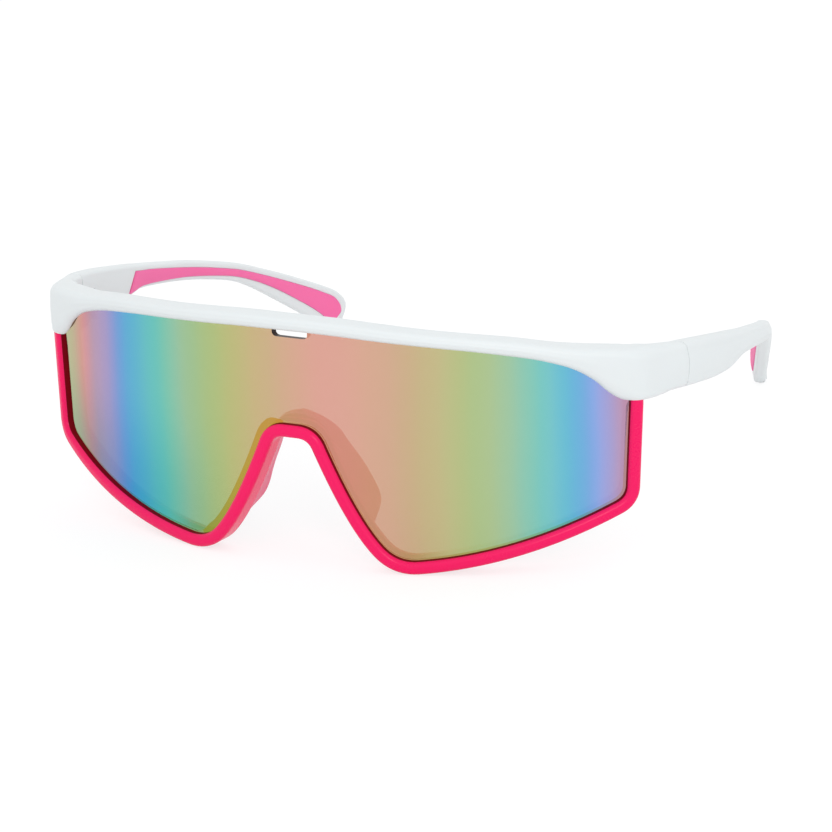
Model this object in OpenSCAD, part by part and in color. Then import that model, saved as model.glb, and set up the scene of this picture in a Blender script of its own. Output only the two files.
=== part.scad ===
// Shield sunglasses: a one-piece cylindrical lens sits between a brow bar, whose ends wrap
// round to the hinges, and a lower rim that plugs into those ends. Millimetres, +Z up,
// front towards -Y, wearer's left towards +X, standing on the rim and the temple tips.
// Places on the front are u, the arc along the lens's front surface from the nose line,
// v, the height over the lower edge of the vent, and n, the distance out of that surface.

/* [Lens] */
// Radius of the lens's front surface
lens_r = 100; // [90:1:115]
// Thickness of the lens
lens_t = 2; // [1.6:0.1:2.4]
// How far the lens reaches into the slots that hold it
lens_bite = 1.1; // [0.8:0.1:1.3]
// Width of the vent at the top of the lens
vent_w = 9; // [6:0.5:14]
// Corner radius of the vent
vent_r = 1; // [0.5:0.1:1.5]

/* [Lower rim] */
// Arc from the nose line to the middle of an upright
rim_arc = 73.2; // [70:0.2:76]
// Depth from the vent line to the middle of the lowest run
rim_drop = 49.2; // [44:0.2:54]
// Width of the rim seen from the front
rim_w = 3.1; // [2.9:0.1:3.6]
// How far the rim stands out of the lens's front
rim_front = 1.9; // [1.4:0.1:2.4]
// How far the rim reaches behind the lens's front
rim_back = 3.3; // [3.2:0.1:4.2]
// Height of the tenons that plug into the brow
tenon_h = 4; // [3:0.5:6]

/* [Brow] */
// Height of the bar over the nose
brow_h = 2.9; // [2.7:0.1:5]
// Height of the opening between the vent's lower edge and the bar
brow_gap = 1.8; // [1.5:0.1:3]
// Drop of the bar's lower edge from the nose to the ends
brow_dip = 16.5; // [14:0.5:19]
// How far the bar stands out of the lens's front over the nose
brow_front = 2; // [1.6:0.1:2.6]
// How far the end pieces stand out
end_front = 3; // [2.6:0.1:3.4]
// How far the bar reaches behind the lens's front
brow_back = 3.2; // [3:0.1:4]
// Wall thickness of an end piece at the hinge
end_t = 4.3; // [4:0.1:5]
// Bend radius from the bar into an end piece
bend_r = 7; // [6.5:0.1:9]
// Distance from the rim's uprights back to the hinge seams
end_len = 13.9; // [13:0.1:17]
// Thickness of the bar's lip over the lens
brow_lip = 0.5; // [0.5:0.1:1]

/* [Temples] */
// Length from the hinge seam to the rear of the tip
temple_len = 101.2; // [90:0.5:112]
// Thickness of the temple at the tip
tip_t = 3; // [2.9:0.1:3.8]
// Crown of the temple's outer face
temple_crown = 0.4; // [0.2:0.1:0.8]
// Thickness of the rubber grip
grip_t = 1.1; // [0.8:0.1:1.3]
// How far the grip stands out of the temple
grip_proud = 0.25; // [0.1:0.05:0.4]
// White border over the grip
grip_border = 1.5; // [1.2:0.1:1.8]

/* [Hinges] */
// Height of the hinge's knuckles together
hinge_h = 6; // [5:0.2:6.4]
// Outside diameter of a knuckle
barrel_d = 3; // [2.8:0.1:3.4]
// Diameter of the hinge screw
screw_d = 1.4; // [1.2:0.1:1.6]
// Diameter of the screw's head
head_d = 2.4; // [2.2:0.1:2.6]
// Height of the screw's head
head_h = 0.6; // [0.5:0.1:0.9]
// Thickness of the hinge's anchor plates
leaf_t = 1; // [0.8:0.1:1.2]
// Length of an anchor plate along the temple
leaf_len = 6; // [4:0.5:8]

/* [Nose pad] */
// How far the wings stand behind the rim
wing_depth = 8.6; // [7:0.2:11]
// Thickness of the wings at their rear edge
wing_t = 1.9; // [1.6:0.1:2.4]
// How far the wings splay away from the nose towards the rear
wing_splay = 2.4; // [1.6:0.1:3]
// How far the saddle rises over the rim's arch
saddle_rise = 2.5; // [1.5:0.1:3]

/* [Hidden] */
$fn = 48;

// Clearances
slide_gap = 0.08;
seat_gap = 0.05;
pin_gap = 0.05;
knuckle_gap = 0.1;
seam_gap = 0.2;
swing_gap = 0.3;
overrun = 1;

// Slight crown of faces that look flat
edge_crown = 0.08;

// Table look-up: a smooth curve through rows of [x, y]
function table_row(t, x, i = 0) = i >= len(t) - 2 || x < t[i + 1][0] ? i : table_row(t, x, i + 1);
function table_slope(t, i) = let (a = t[max(i - 1, 0)], b = t[min(i + 1, len(t) - 1)])
    (b[1] - a[1]) / (b[0] - a[0]);
function smooth(t, x) = let (
    i = table_row(t, x), h = t[i + 1][0] - t[i][0], w = min(max((x - t[i][0]) / h, 0), 1),
    w2 = w * w, w3 = w2 * w)
    (2 * w3 - 3 * w2 + 1) * t[i][1] + (w3 - 2 * w2 + w) * h * table_slope(t, i)
    + (3 * w2 - 2 * w3) * t[i + 1][1] + (w3 - w2) * h * table_slope(t, i + 1);
function column(t, c) = [for (i = [0 : len(t) - 1]) [i, t[i][c]]];
function unit(p) = p / norm(p);
function steps(a, b, count) = [for (i = [0 : count]) a + (b - a) * i / count];
// Quadratic bow from a to b pulled towards k, without its first point
function bow(a, k, b, count) = [for (i = [1 : count]) let (t = i / count)
    (1 - t) * (1 - t) * a + 2 * t * (1 - t) * k + t * t * b];
function mirrored(list) = [for (i = [len(list) - 1 : -1 : 1]) [-list[i][0], list[i][1]]];
function turn_right(d) = [d[1], -d[0]];
// Quarter round of radius r about c, from angle a, as [across, along] offsets
function round_corner(c, r, a, count = 3) = [for (i = [0 : count]) let (g = a + 90 * i / count)
    c + r * [cos(g), sin(g)]];

// Closed solid through rings of points, each ring listed the same way round
module loft(rings) {
    m = len(rings[0]);
    last = len(rings) - 1;
    sides = [for (i = [0 : last - 1], j = [0 : m - 1]) let (k = (j + 1) % m)
        each [[i * m + j, (i + 1) * m + k, i * m + k], [i * m + j, (i + 1) * m + j, (i + 1) * m + k]]];
    caps = [[for (j = [0 : m - 1]) j], [for (j = [m - 1 : -1 : 0]) last * m + j]];
    polyhedron(points = [for (r = rings) each r], faces = concat(sides, caps), convexity = 8);
}
module both_sides() {
    children();
    mirror([1, 0, 0]) children();
}

// The rim's middle line, from the nose arch down, along the lowest run and up the side
side_corner_share = [0.983, 0.746];
low_pull_share = [0.64, 0.955];
low_corner_share = [0.297, 1.006];
nose_pull_share = [0.178, 0.81];
arch_corner_share = [0.066, 0.411];
rim_top_share = 0.31;
function rim_at(share) = [rim_arc * share[0], -rim_drop * share[1]];
side_r = 3.2;
low_r = 5;
arch_r = 3.4;
rim_top = [rim_arc, -rim_drop * rim_top_share];
side_corner = rim_at(side_corner_share);
low_pull = rim_at(low_pull_share);
low_corner = rim_at(low_corner_share);
nose_pull = rim_at(nose_pull_share);
arch_corner = rim_at(arch_corner_share);
function toward(a, b, d) = a + unit(b - a) * d;
arch_in = arch_corner - [arch_r, 0];
arch_out = toward(arch_corner, nose_pull, arch_r);
low_in = toward(low_corner, nose_pull, low_r);
low_out = toward(low_corner, low_pull, low_r);
side_in = toward(side_corner, low_pull, side_r);
side_out = toward(side_corner, rim_top, side_r);
arch_mid = [0, arch_corner[1]];
nose_half = concat([arch_mid], bow(arch_mid, (arch_in + arch_mid) / 2, arch_in, 2),
    bow(arch_in, arch_corner, arch_out, 6), bow(arch_out, nose_pull, low_in, 9));
rim_half = concat(nose_half, bow(low_in, low_corner, low_out, 7), bow(low_out, low_pull, side_in, 16),
    bow(side_in, side_corner, side_out, 6), bow(side_out, (side_out + rim_top) / 2, rim_top, 3));
rim_path = concat(mirrored(rim_half), rim_half);
function path_normal(path, i) =
    turn_right(unit(path[min(i + 1, len(path) - 1)] - path[max(i - 1, 0)]));

// Heights and the origin: the rim's lowest edge and the temple tips stand on z = 0
floor_v = min([for (i = [0 : len(rim_path) - 1])
    rim_path[i][1] + path_normal(rim_path, i)[1] * rim_w / 2]);
brow_round = 0.35 * brow_h;
brow_crown = 0.1 * brow_round;
seam_y = lens_r * (1 - cos(rim_arc / lens_r * 180 / PI)) + end_len;
mid_y = (seam_y + seam_gap + temple_len - brow_front - brow_crown) / 2;
function on_front(u, v, n) = let (a = u / lens_r * 180 / PI)
    [(lens_r + n) * sin(a), lens_r - (lens_r + n) * cos(a) - mid_y, v - floor_v];

// Lower rim section: a is across the rim from the lens side outwards, n is out of the lens
slot_d = lens_bite + 0.15 * lens_bite;
rim_round = 0.3 * rim_w;
pad_slot_w = 0.4 * rim_w;
pad_slot_d = 0.25 * rim_w;
slot_front = seat_gap;
slot_back = -lens_t - seat_gap;
function rim_section(pad) = let (
    a = rim_w / 2, f = rim_front, b = -rim_back, r = rim_round, g = pad_slot_w / 2)
    concat([[-a, slot_back], [slot_d - a, slot_back], [slot_d - a, slot_front], [-a, slot_front]],
        [for (q = round_corner([r - a, f - r], r, 180)) [q[0], 2 * (f - r) - q[1]]],
        [for (q = round_corner([a - r, f - r], r, 90)) [2 * (a - r) - q[0], q[1]]],
        [for (q = round_corner([a - r, b + r], r, 0)) [q[0], 2 * (b + r) - q[1]]],
        [[g, b], [g, b + pad * pad_slot_d], [-g, b + pad * pad_slot_d], [-g, b]],
        [[-a, b]]);
nose_count = len(nose_half) - 1;
pad_reach = nose_count - 3;
rim_mid = len(rim_half) - 1;
function ring_on(path, i, section) = let (p = path[i], w = path_normal(path, i))
    [for (q = section) on_front(p[0] + w[0] * q[0], p[1] + w[1] * q[0], q[1])];
tenon_w = 0.45 * rim_w;
tenon_in = 0.04 * rim_w;
tenon_front = 0.5 * rim_front;
tenon_back = 0.8 * rim_back;
tenon_u = rim_arc + rim_w / 2 - tenon_in - tenon_w / 2;
tenon_root = side_r / 2;
module tenon(grow) {
    translate([0, lens_r - mid_y, rim_top[1] - floor_v])
        rotate([0, 0, tenon_u / lens_r * 180 / PI])
            translate([-tenon_w / 2 - grow, -lens_r - tenon_front - grow, -tenon_root])
                cube([tenon_w + 2 * grow, tenon_front + tenon_back + 2 * grow,
                    tenon_root + tenon_h + grow]);
}
module lower_rim() {
    color("#fa2d73") union() {
        loft([for (i = [0 : len(rim_path) - 1])
            ring_on(rim_path, i, rim_section(abs(i - rim_mid) <= pad_reach ? 1 : 0))]);
        both_sides() tenon(0);
    }
}

// Brow: its edges follow tables of shares along the rim's arc and the brow's dip
brow_low_share = [[-0.14, 0.015], [0, 0], [0.14, 0.015], [0.27, 0.06], [0.41, 0.118],
    [0.545, 0.188], [0.68, 0.292], [0.765, 0.388], [0.82, 0.483], [0.875, 0.646], [0.92, 0.84],
    [0.955, 0.945], [0.985, 0.975], [1.02, 1], [1.06, 1.025], [1.12, 1.045], [1.19, 1.095]];
brow_top_share = [[-0.14, 0.012], [0, 0], [0.14, 0.012], [0.27, 0.058], [0.41, 0.121],
    [0.52, 0.171], [0.655, 0.244], [0.79, 0.353], [0.94, 0.445], [1.06, 0.53], [1.19, 0.655]];
bend_u = 0.97 * rim_arc;
bend_turn = 75.5;
bend_from = bend_u / lens_r * 180 / PI;
bend_len = bend_r * (bend_turn - bend_from) * PI / 180;
function low_edge(s) = brow_gap - brow_dip * smooth(brow_low_share, abs(s) / rim_arc);
function top_edge(s) = brow_gap + brow_h - brow_dip * smooth(brow_top_share, abs(s) / rim_arc);
// The bar's plan line: along the lens, round the bend, straight back to the seam
bend_start = lens_r * [sin(bend_from), 1 - cos(bend_from)];
function heading(g) = [cos(g), sin(g)];
bend_centre = bend_start + bend_r * [-sin(bend_from), cos(bend_from)];
bend_end = bend_centre + bend_r * [sin(bend_turn), -cos(bend_turn)];
straight_len = (seam_y - bend_end[1]) / sin(bend_turn);
brow_len = bend_u + bend_len + straight_len;
function plan_angle(s) = s < bend_u ? s / lens_r * 180 / PI
    : s < bend_u + bend_len ? bend_from + (s - bend_u) / bend_r * 180 / PI : bend_turn;
function plan_point(s) = let (g = plan_angle(s))
    s < bend_u ? lens_r * [sin(g), 1 - cos(g)]
    : s < bend_u + bend_len ? bend_centre + bend_r * [sin(g), -cos(g)]
    : bend_end + (s - bend_u - bend_len) * heading(bend_turn);
function blend(a, b, t) = let (w = min(max(t, 0), 1)) a + (b - a) * w * w * (3 - 2 * w);
function outside(s) = blend(brow_front, end_front, (s / rim_arc - 0.6) / 0.35);
function inside(s) = blend(brow_back, end_t * sin(bend_turn) - end_front,
    (s - bend_u - bend_len) / bend_len);
groove_end = rim_arc + slot_d - rim_w / 2 + slide_gap;
groove_d = lens_bite + 2 * slide_gap;
groove_draft = 0.1 * lens_bite;
groove_wall = 0.15 * brow_back;
function groove_depth(s) = s <= groove_end ? groove_d : -edge_crown;
function groove_front(s) = slot_front
    + pow(max(min(s, groove_end) - bend_u, 0), 2) / 2 * (1 / bend_r - 1 / lens_r);
function groove_back(s) = max(slot_back, groove_wall - inside(s));
seam_x = plan_point(brow_len)[0] + end_front / sin(bend_turn);
// The bar's lower front edge: a thin lip over the lens that thickens where the rim plugs in
function lip_swell(s) = (s / rim_arc - 0.955) / 0.045;
function lip(s) = blend(brow_lip, 0.75 * end_front, lip_swell(s));
function lip_rise(s) = blend(0.4 * (top_edge(s) - low_edge(s)), 1.3 * brow_round, lip_swell(s));
// Ring of the bar at distance s along its line
function brow_ring(s) = let (p = plan_point(s), g = plan_angle(s), out = [sin(g), -cos(g)],
    lo = low_edge(s), hi = top_edge(s), f = outside(s), b = -inside(s), r = brow_round,
    rt = min(1.5 * r, (hi - lo) / 3), d = groove_depth(s), flat = s >= brow_len - seat_gap,
    section = concat(
        [[b, lo], [groove_back(s) - groove_draft, lo], [groove_back(s), lo + d], [groove_front(s), lo + d],
            [groove_front(s) + groove_draft, lo]],
        [for (g = [0, 30, 60, 90]) [lip(s) + (f - lip(s)) * sin(g), lo + lip_rise(s) * (1 - cos(g))]],
        [[f + brow_crown, lo + 0.6 * (hi - lo)]],
        round_corner([f - rt, hi - rt], rt, 0, 3), round_corner([b + r, hi - r], r, 90, 2)))
    [for (q = section) let (xy = p + out * q[0],
        seat = flat ? xy + heading(g) * (seam_y - xy[1]) / sin(g) : xy)
        [seat[0], seat[1] - mid_y, q[1] - floor_v]];
function flip_x(ring) = [for (q = ring) [-q[0], q[1], q[2]]];
brow_stops = concat(steps(0, 0.74 * rim_arc, 15), steps(0.77 * rim_arc, groove_end, 12),
    steps(groove_end + seat_gap, bend_u + bend_len, 5),
    steps(bend_u + bend_len + straight_len / 4, brow_len, 3));
module brow_frame() {
    right = [for (s = brow_stops) brow_ring(s)];
    left = [for (i = [len(right) - 1 : -1 : 1]) flip_x(right[i])];
    color("#e4e9eb") difference() {
        loft(concat(left, right));
        both_sides() {
            tenon(slide_gap);
            anchor_front(seat_gap);
        }
    }
}

// Lens: columns from the rim's slot up into the brow's groove
edge_in = rim_w / 2 - lens_bite;
lens_low = [for (i = [0 : len(rim_half) - 5])
    rim_half[i] - path_normal(rim_path, i + rim_mid) * edge_in];
lens_half = lens_low[len(lens_low) - 1][0];
lens_side = rim_arc - edge_in;
function lens_column(q) = let (u = q[0] * lens_side / lens_half, top = low_edge(u) + lens_bite)
    [on_front(q[0], q[1], 0), on_front(q[0], q[1], -lens_t), on_front(u, top, -lens_t),
        on_front(u, top, 0)];
lens_line = concat(mirrored(lens_low), lens_low);
module shield_lens() {
    color("#d8a08c") difference() {
        loft([for (q = lens_line) lens_column(q)]);
        translate([0, -mid_y, -floor_v]) rotate([90, 0, 0])
            linear_extrude(height = 2 * overrun + 2 * lens_t, center = true) {
                translate([-vent_w / 2, vent_r]) square([vent_w, brow_gap + brow_h]);
                for (side = [-1, 1]) translate([side * (vent_w / 2 - vent_r), vent_r]) circle(vent_r);
                translate([vent_r - vent_w / 2, 0]) square([vent_w - 2 * vent_r, vent_r]);
            }
    }
}

// Nose pad: a saddle over the arch with a splayed wing down each side
wing_depth_share = [[-0.2, 0.3], [0, 0.28], [0.2, 0.34], [0.4, 0.62], [0.6, 0.92], [0.78, 1],
    [0.93, 0.96], [1, 0.16]];
wing_splay_share = [[-0.2, 0.75], [0, 0.75], [0.3, 0.55], [0.5, 0.7], [0.7, 1], [0.9, 0.8], [1, 0.3]];
saddle_share = [[-0.2, 0.9], [0, 1], [0.2, 0.9], [0.42, 0.35], [0.6, 0.15], [0.8, 0.1], [1, 0.05]];
pad_seat = -rim_back - seat_gap;
function pad_section(t) = let (
    rear = pad_seat - wing_depth * smooth(wing_depth_share, t),
    near = rim_w / 2 - wing_splay * smooth(wing_splay_share, t),
    far = near - wing_t - saddle_rise * smooth(saddle_share, t) * 0.4,
    foot_near = 0.4 * rim_w, foot_far = -0.45 * rim_w - saddle_rise * smooth(saddle_share, t),
    r = wing_t * 0.45, g = pad_slot_w / 2 - seat_gap, top = pad_slot_d - seat_gap)
    concat([[foot_far, pad_seat], [-g, pad_seat], [-g, pad_seat + top], [g, pad_seat + top], [g, pad_seat],
        [foot_near, pad_seat]],
        [for (q = round_corner([near - r, rear + r], r, 0, 2)) [q[0], 2 * (rear + r) - q[1]]],
        [for (q = round_corner([far + r, rear + r], r, 90, 2)) [q[0], 2 * (rear + r) - q[1]]]);
module nose_pad() {
    color("#d8648c")
        loft([for (i = [rim_mid - pad_reach : rim_mid + pad_reach])
            ring_on(rim_path, i, pad_section(abs(i - rim_mid) / pad_reach))]);
}

// Temple: rows of [upper y, upper drop, lower y, lower drop] as shares of its length and fall
temple_edge_share = [
    [0, 0, 0, 0.229], [0.1, 0.051, 0.08, 0.261], [0.18, 0.096, 0.15, 0.29],
    [0.271, 0.149, 0.217, 0.309], [0.32, 0.179, 0.268, 0.308], [0.37, 0.209, 0.315, 0.307],
    [0.448, 0.256, 0.405, 0.344],
    [0.54, 0.313, 0.51, 0.398], [0.622, 0.371, 0.595, 0.451], [0.7, 0.434, 0.665, 0.505],
    [0.77, 0.507, 0.725, 0.579], [0.835, 0.578, 0.785, 0.672], [0.9, 0.655, 0.84, 0.762],
    [0.95, 0.717, 0.885, 0.838], [0.985, 0.771, 0.917, 0.896], [1, 0.839, 0.94, 0.948],
    [0.994, 0.918, 0.953, 0.986], [0.98, 0.971, 0.966, 1]];
temple_bow_share = [[0, 0], [0.04, 0.0065], [0.1, 0.0122], [0.17, 0.0135], [0.27, 0.0122], [0.34, 0.008],
    [0.45, -0.005], [0.53, -0.018], [0.6, -0.037], [0.695, -0.07], [0.793, -0.106], [0.892, -0.146],
    [0.942, -0.168], [1, -0.197]];
temple_cols = [for (c = [0 : 3]) column(temple_edge_share, c)];
temple_rows = len(temple_edge_share) - 1;
temple_stops = steps(0, temple_rows, 3 * temple_rows);
temple_reach = max([for (k = temple_stops) smooth(temple_cols[0], k)]);
temple_top = top_edge(brow_len);
temple_fall = temple_top - floor_v;
temple_start = seam_y + seam_gap;
square_run = 0.06 * temple_len;
tip_fade = 1.5;
slope_step = 0.01;
function bow_slope(w) = (smooth(temple_bow_share, w + slope_step)
    - smooth(temple_bow_share, w - slope_step)) / (2 * slope_step);
// Point of the temple at length y behind its start and drop v under its start, depth d inside
function in_temple(y, v, d) = let (w = y / temple_len,
    m = bow_slope(w) * min(y / square_run, 1), out = unit([1, -m]))
    [seam_x + temple_len * smooth(temple_bow_share, w) - d * out[0], temple_start + y - d * out[1] - mid_y,
        temple_top + v - floor_v];
function temple_row(k) = let (q = [for (c = temple_cols) smooth(c, k)])
    [[q[0] / temple_reach * temple_len, -q[1] * temple_fall],
        [q[2] / temple_reach * temple_len, -q[3] * temple_fall]];
function temple_thick(k) = blend(end_t, tip_t, k / temple_rows * 1.6)
    * (1 - 0.45 * pow(max(k - temple_rows + tip_fade, 0) / tip_fade, 2));
grip_from = 3;
grip_to = temple_rows - 1.7;
grip_top_share = [[0, 1], [9, 1], [11, 1.1], [12, 1.25], [13, 1.5], [14, 2], [15, 2.3], [17, 2.3]];
function grip_high(k) = grip_border * smooth(grip_top_share, k);
grip_low_share = [[0, 1], [7, 1], [9, 1.4], [11, 2.3], [13, 2.4], [15, 2], [17, 1.3]];
function grip_low(k) = 0.65 * grip_border * smooth(grip_low_share, k);
grip_sink = grip_t - grip_proud;
draft = 0.1 * grip_t;
function temple_ring(k, sink) = let (e = temple_row(k), h = norm(e[1] - e[0]), along = unit(e[1] - e[0]),
    t = temple_thick(k), ro = min(0.4 * t, 0.4 * h), ri = 0.25 * t,
    hi = min(grip_high(k), 0.3 * h), lo = h - min(grip_low(k), 0.35 * h),
    section = concat(
        [for (q = round_corner([ro, h - ro], ro, 90, 3)) q],
        [for (w = [0.75, 0.5, 0.25]) [-4 * w * (1 - w) * temple_crown, ro + (h - 2 * ro) * w]],
        round_corner([ro, ro], ro, 180, 3), round_corner([t - ri, ri], ri, 270, 2),
        [[t, hi], [t - sink, hi + draft], [t - sink, lo - draft], [t, lo]],
        round_corner([t - ri, h - ri], ri, 0, 2)))
    [for (q = section) let (p = e[0] + along * q[1]) in_temple(p[0], p[1], q[0])];
end_ramp = 0.02;
grip_stops = concat([grip_from],
    [for (k = temple_stops) if (k > grip_from + end_ramp && k < grip_to - end_ramp) k], [grip_to]);
module temple_body() {
    loft(concat([for (k = temple_stops) if (k < grip_from - end_ramp) temple_ring(k, -edge_crown)],
        [temple_ring(grip_from - end_ramp, -edge_crown)], [for (k = grip_stops) temple_ring(k, grip_sink)],
        [temple_ring(grip_to + end_ramp, -edge_crown)],
        [for (k = temple_stops) if (k > grip_to + end_ramp) temple_ring(k, -edge_crown)]));
}
module temple_solid() {
    color("#e4e9eb") difference() {
        temple_body();
        anchor_rear(seat_gap);
    }
}
module grip_solid() {
    color("#fa73aa") loft([for (k = grip_stops) let (
        e = temple_row(min(max(k, grip_from + end_ramp), grip_to - end_ramp)), h = norm(e[1] - e[0]),
        along = unit(e[1] - e[0]), t = temple_thick(k),
        hi = min(grip_high(k), 0.3 * h) + seat_gap, lo = h - min(grip_low(k), 0.35 * h) - seat_gap,
        base = t - grip_sink + seat_gap, top = t + grip_proud, r = grip_proud,
        section = [[base, hi + draft], [base, lo - draft], [top - r, lo], [top, lo - r],
            [top, hi + r], [top - r, hi]])
        [for (q = section) let (p = e[0] + along * q[1]) in_temple(p[0], p[1], q[0])]]);
}

// Hinge: three knuckles on one screw, with anchor plates moulded into both sides
knuckle_r = barrel_d / 2;
hinge_x = seam_x - end_t - (knuckle_r + swing_gap) / sin(bend_turn);
hinge_y = seam_y + seam_gap / 2 - mid_y;
hinge_top_share = 0.36;
hinge_top = top_edge(brow_len) - hinge_top_share * (top_edge(brow_len) - low_edge(brow_len)) - floor_v;
hinge_low = hinge_top - hinge_h;
knuckle_h = (hinge_h - 2 * knuckle_gap) / 3;
neck_t = 0.8 * leaf_t;
neck_near = swing_gap;
plate_x = seam_x - end_t / 2 - leaf_t / 2;
module at_hinge() {
    translate([hinge_x, hinge_y, hinge_low]) children();
}
// Anchor plates and necks, grown by a clearance for their moulded seats: the rear neck is one
// knuckle high, the front one as high as the hinge, and the front plate follows the end piece
plate_y = neck_near + neck_t / 2;
module neck(near, low, high, grow) {
    translate([0, near - grow, low - grow])
        cube([plate_x - hinge_x + leaf_t + grow, neck_t + 2 * grow, high + 2 * grow]);
}
module plate(from, grow) {
    translate([-grow, from - grow, -grow])
        cube([leaf_t + 2 * grow, leaf_len + 2 * grow, hinge_h + 2 * grow]);
}
module anchor_front(grow) {
    at_hinge() {
        neck(-neck_near - neck_t, 0, hinge_h, grow);
        translate([plate_x - hinge_x, -plate_y, 0]) rotate([0, 0, bend_turn - 90]) plate(-leaf_len, grow);
    }
}
module anchor_rear(grow) {
    at_hinge() {
        neck(neck_near, knuckle_h + knuckle_gap, knuckle_h, grow);
        translate([plate_x - hinge_x, plate_y, 0]) plate(0, grow);
    }
}
module knuckle(level) {
    at_hinge() translate([0, 0, level * (knuckle_h + knuckle_gap)]) cylinder(h = knuckle_h, r = knuckle_r);
}
module screw_bore() {
    at_hinge() translate([0, 0, -overrun]) cylinder(h = hinge_h + 2 * overrun, d = screw_d + 2 * pin_gap);
}
module front_leaf() {
    color("#b9bcc0") difference() {
        union() {
            knuckle(0);
            knuckle(2);
            difference() {
                anchor_front(0);
                at_hinge() translate([0, 0, knuckle_h])
                    cylinder(h = knuckle_h + 2 * knuckle_gap, r = knuckle_r + swing_gap / 2);
            }
        }
        screw_bore();
    }
}
module temple_leaf() {
    color("#b9bcc0") difference() {
        union() {
            knuckle(1);
            anchor_rear(0);
        }
        screw_bore();
    }
}
module screw_solid() {
    color("#9a9da2") at_hinge() {
        cylinder(h = hinge_h + knuckle_gap, d = screw_d);
        translate([0, 0, hinge_h + knuckle_gap]) difference() {
            cylinder(h = head_h, d = head_d);
            translate([-head_d, -head_d / 10, head_h / 2]) cube([2 * head_d, head_d / 5, head_h]);
        }
    }
}

module temple_left() { temple_solid(); }
module temple_right() { mirror([1, 0, 0]) temple_solid(); }
module temple_grip_left() { grip_solid(); }
module temple_grip_right() { mirror([1, 0, 0]) grip_solid(); }
module hinge_front_leaf_left() { front_leaf(); }
module hinge_front_leaf_right() { mirror([1, 0, 0]) front_leaf(); }
module hinge_temple_leaf_left() { temple_leaf(); }
module hinge_temple_leaf_right() { mirror([1, 0, 0]) temple_leaf(); }
module hinge_screw_left() { screw_solid(); }
module hinge_screw_right() { mirror([1, 0, 0]) screw_solid(); }

brow_frame();
lower_rim();
shield_lens();
nose_pad();
temple_left();
temple_right();
temple_grip_left();
temple_grip_right();
hinge_front_leaf_left();
hinge_front_leaf_right();
hinge_temple_leaf_left();
hinge_temple_leaf_right();
hinge_screw_left();
hinge_screw_right();
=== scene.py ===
"""Shield sunglasses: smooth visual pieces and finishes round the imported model."""

import logging
import math
from dataclasses import dataclass, field
from enum import Enum
from typing import Optional, Sequence

import bpy
import numpy as np
from mathutils import Matrix, Vector


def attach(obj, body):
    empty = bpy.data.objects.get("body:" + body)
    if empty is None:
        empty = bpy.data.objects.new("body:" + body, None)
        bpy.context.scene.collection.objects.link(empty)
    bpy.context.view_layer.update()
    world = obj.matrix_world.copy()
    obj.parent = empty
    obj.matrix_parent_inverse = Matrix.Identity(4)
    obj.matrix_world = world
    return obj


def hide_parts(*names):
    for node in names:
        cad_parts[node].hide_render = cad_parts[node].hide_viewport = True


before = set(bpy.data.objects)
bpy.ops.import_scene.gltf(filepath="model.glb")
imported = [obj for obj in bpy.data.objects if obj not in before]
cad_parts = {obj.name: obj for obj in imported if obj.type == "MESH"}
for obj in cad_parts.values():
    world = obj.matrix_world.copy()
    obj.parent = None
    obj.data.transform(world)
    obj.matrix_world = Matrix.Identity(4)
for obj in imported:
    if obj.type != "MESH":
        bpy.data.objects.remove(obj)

LOG = logging.getLogger("sunglasses")
MM = 0.001
Point = tuple[float, float]
Table = Sequence[Point]
Colour = tuple[float, float, float]
Thing = bpy.types.Object
Material = bpy.types.Material
Tree = bpy.types.NodeTree
Node = bpy.types.Node
Socket = bpy.types.NodeSocket


class Side(Enum):
    """Which side of the wearer a piece is on."""

    LEFT = 1
    RIGHT = -1


class Ease(Enum):
    """How a share runs from 0 to 1."""

    STRAIGHT = "LINEAR"
    SOFT = "SMOOTHSTEP"


# Shared geometry


def smooth(table: Table, x: np.ndarray) -> np.ndarray:
    """Reads a table as one smooth curve, with the slopes of its neighbouring rows.

    Args:
        table: rows of (x, y), x rising.
        x: places to read.

    Returns:
        The curve's heights at x.
    """
    t = np.asarray(table, float)
    x = np.asarray(x, float)
    n = len(t)
    i = np.clip(np.searchsorted(t[:, 0], x, side="right") - 1, 0, n - 2)
    slope = np.array([
        (t[min(k + 1, n - 1), 1] - t[max(k - 1, 0), 1]) / (t[min(k + 1, n - 1), 0] - t[max(k - 1, 0), 0])
        for k in range(n)
    ])
    h = t[i + 1, 0] - t[i, 0]
    w = np.clip((x - t[i, 0]) / h, 0, 1)
    w2, w3 = w * w, w * w * w
    return (
        (2 * w3 - 3 * w2 + 1) * t[i, 1] + (w3 - 2 * w2 + w) * h * slope[i]
        + (3 * w2 - 2 * w3) * t[i + 1, 1] + (w3 - w2) * h * slope[i + 1]
    )


def fade(a: float, b: float, t: np.ndarray) -> np.ndarray:
    """Eases from a at t = 0 to b at t = 1."""
    w = np.clip(t, 0, 1)
    return a + (b - a) * w * w * (3 - 2 * w)


def bow(a: np.ndarray, k: np.ndarray, b: np.ndarray, count: int) -> np.ndarray:
    """Quadratic bow from a to b pulled towards k, without its first point."""
    t = np.linspace(0, 1, count + 1)[1:, None]
    return (1 - t) ** 2 * a + 2 * t * (1 - t) * k + t * t * b


def arc(centre: Point, radius: float, start: float, end: float, count: int) -> list[Point]:
    """Points of a round corner, angles in degrees."""
    return [
        (centre[0] + radius * math.cos(math.radians(g)), centre[1] + radius * math.sin(math.radians(g)))
        for g in np.linspace(start, end, count + 1)
    ]


def between(p: Point, q: Point, count: int) -> list[Point]:
    """Inner points of the straight line from p to q."""
    return [(p[0] + (q[0] - p[0]) * k / count, p[1] + (q[1] - p[1]) * k / count) for k in range(1, count)]


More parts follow.
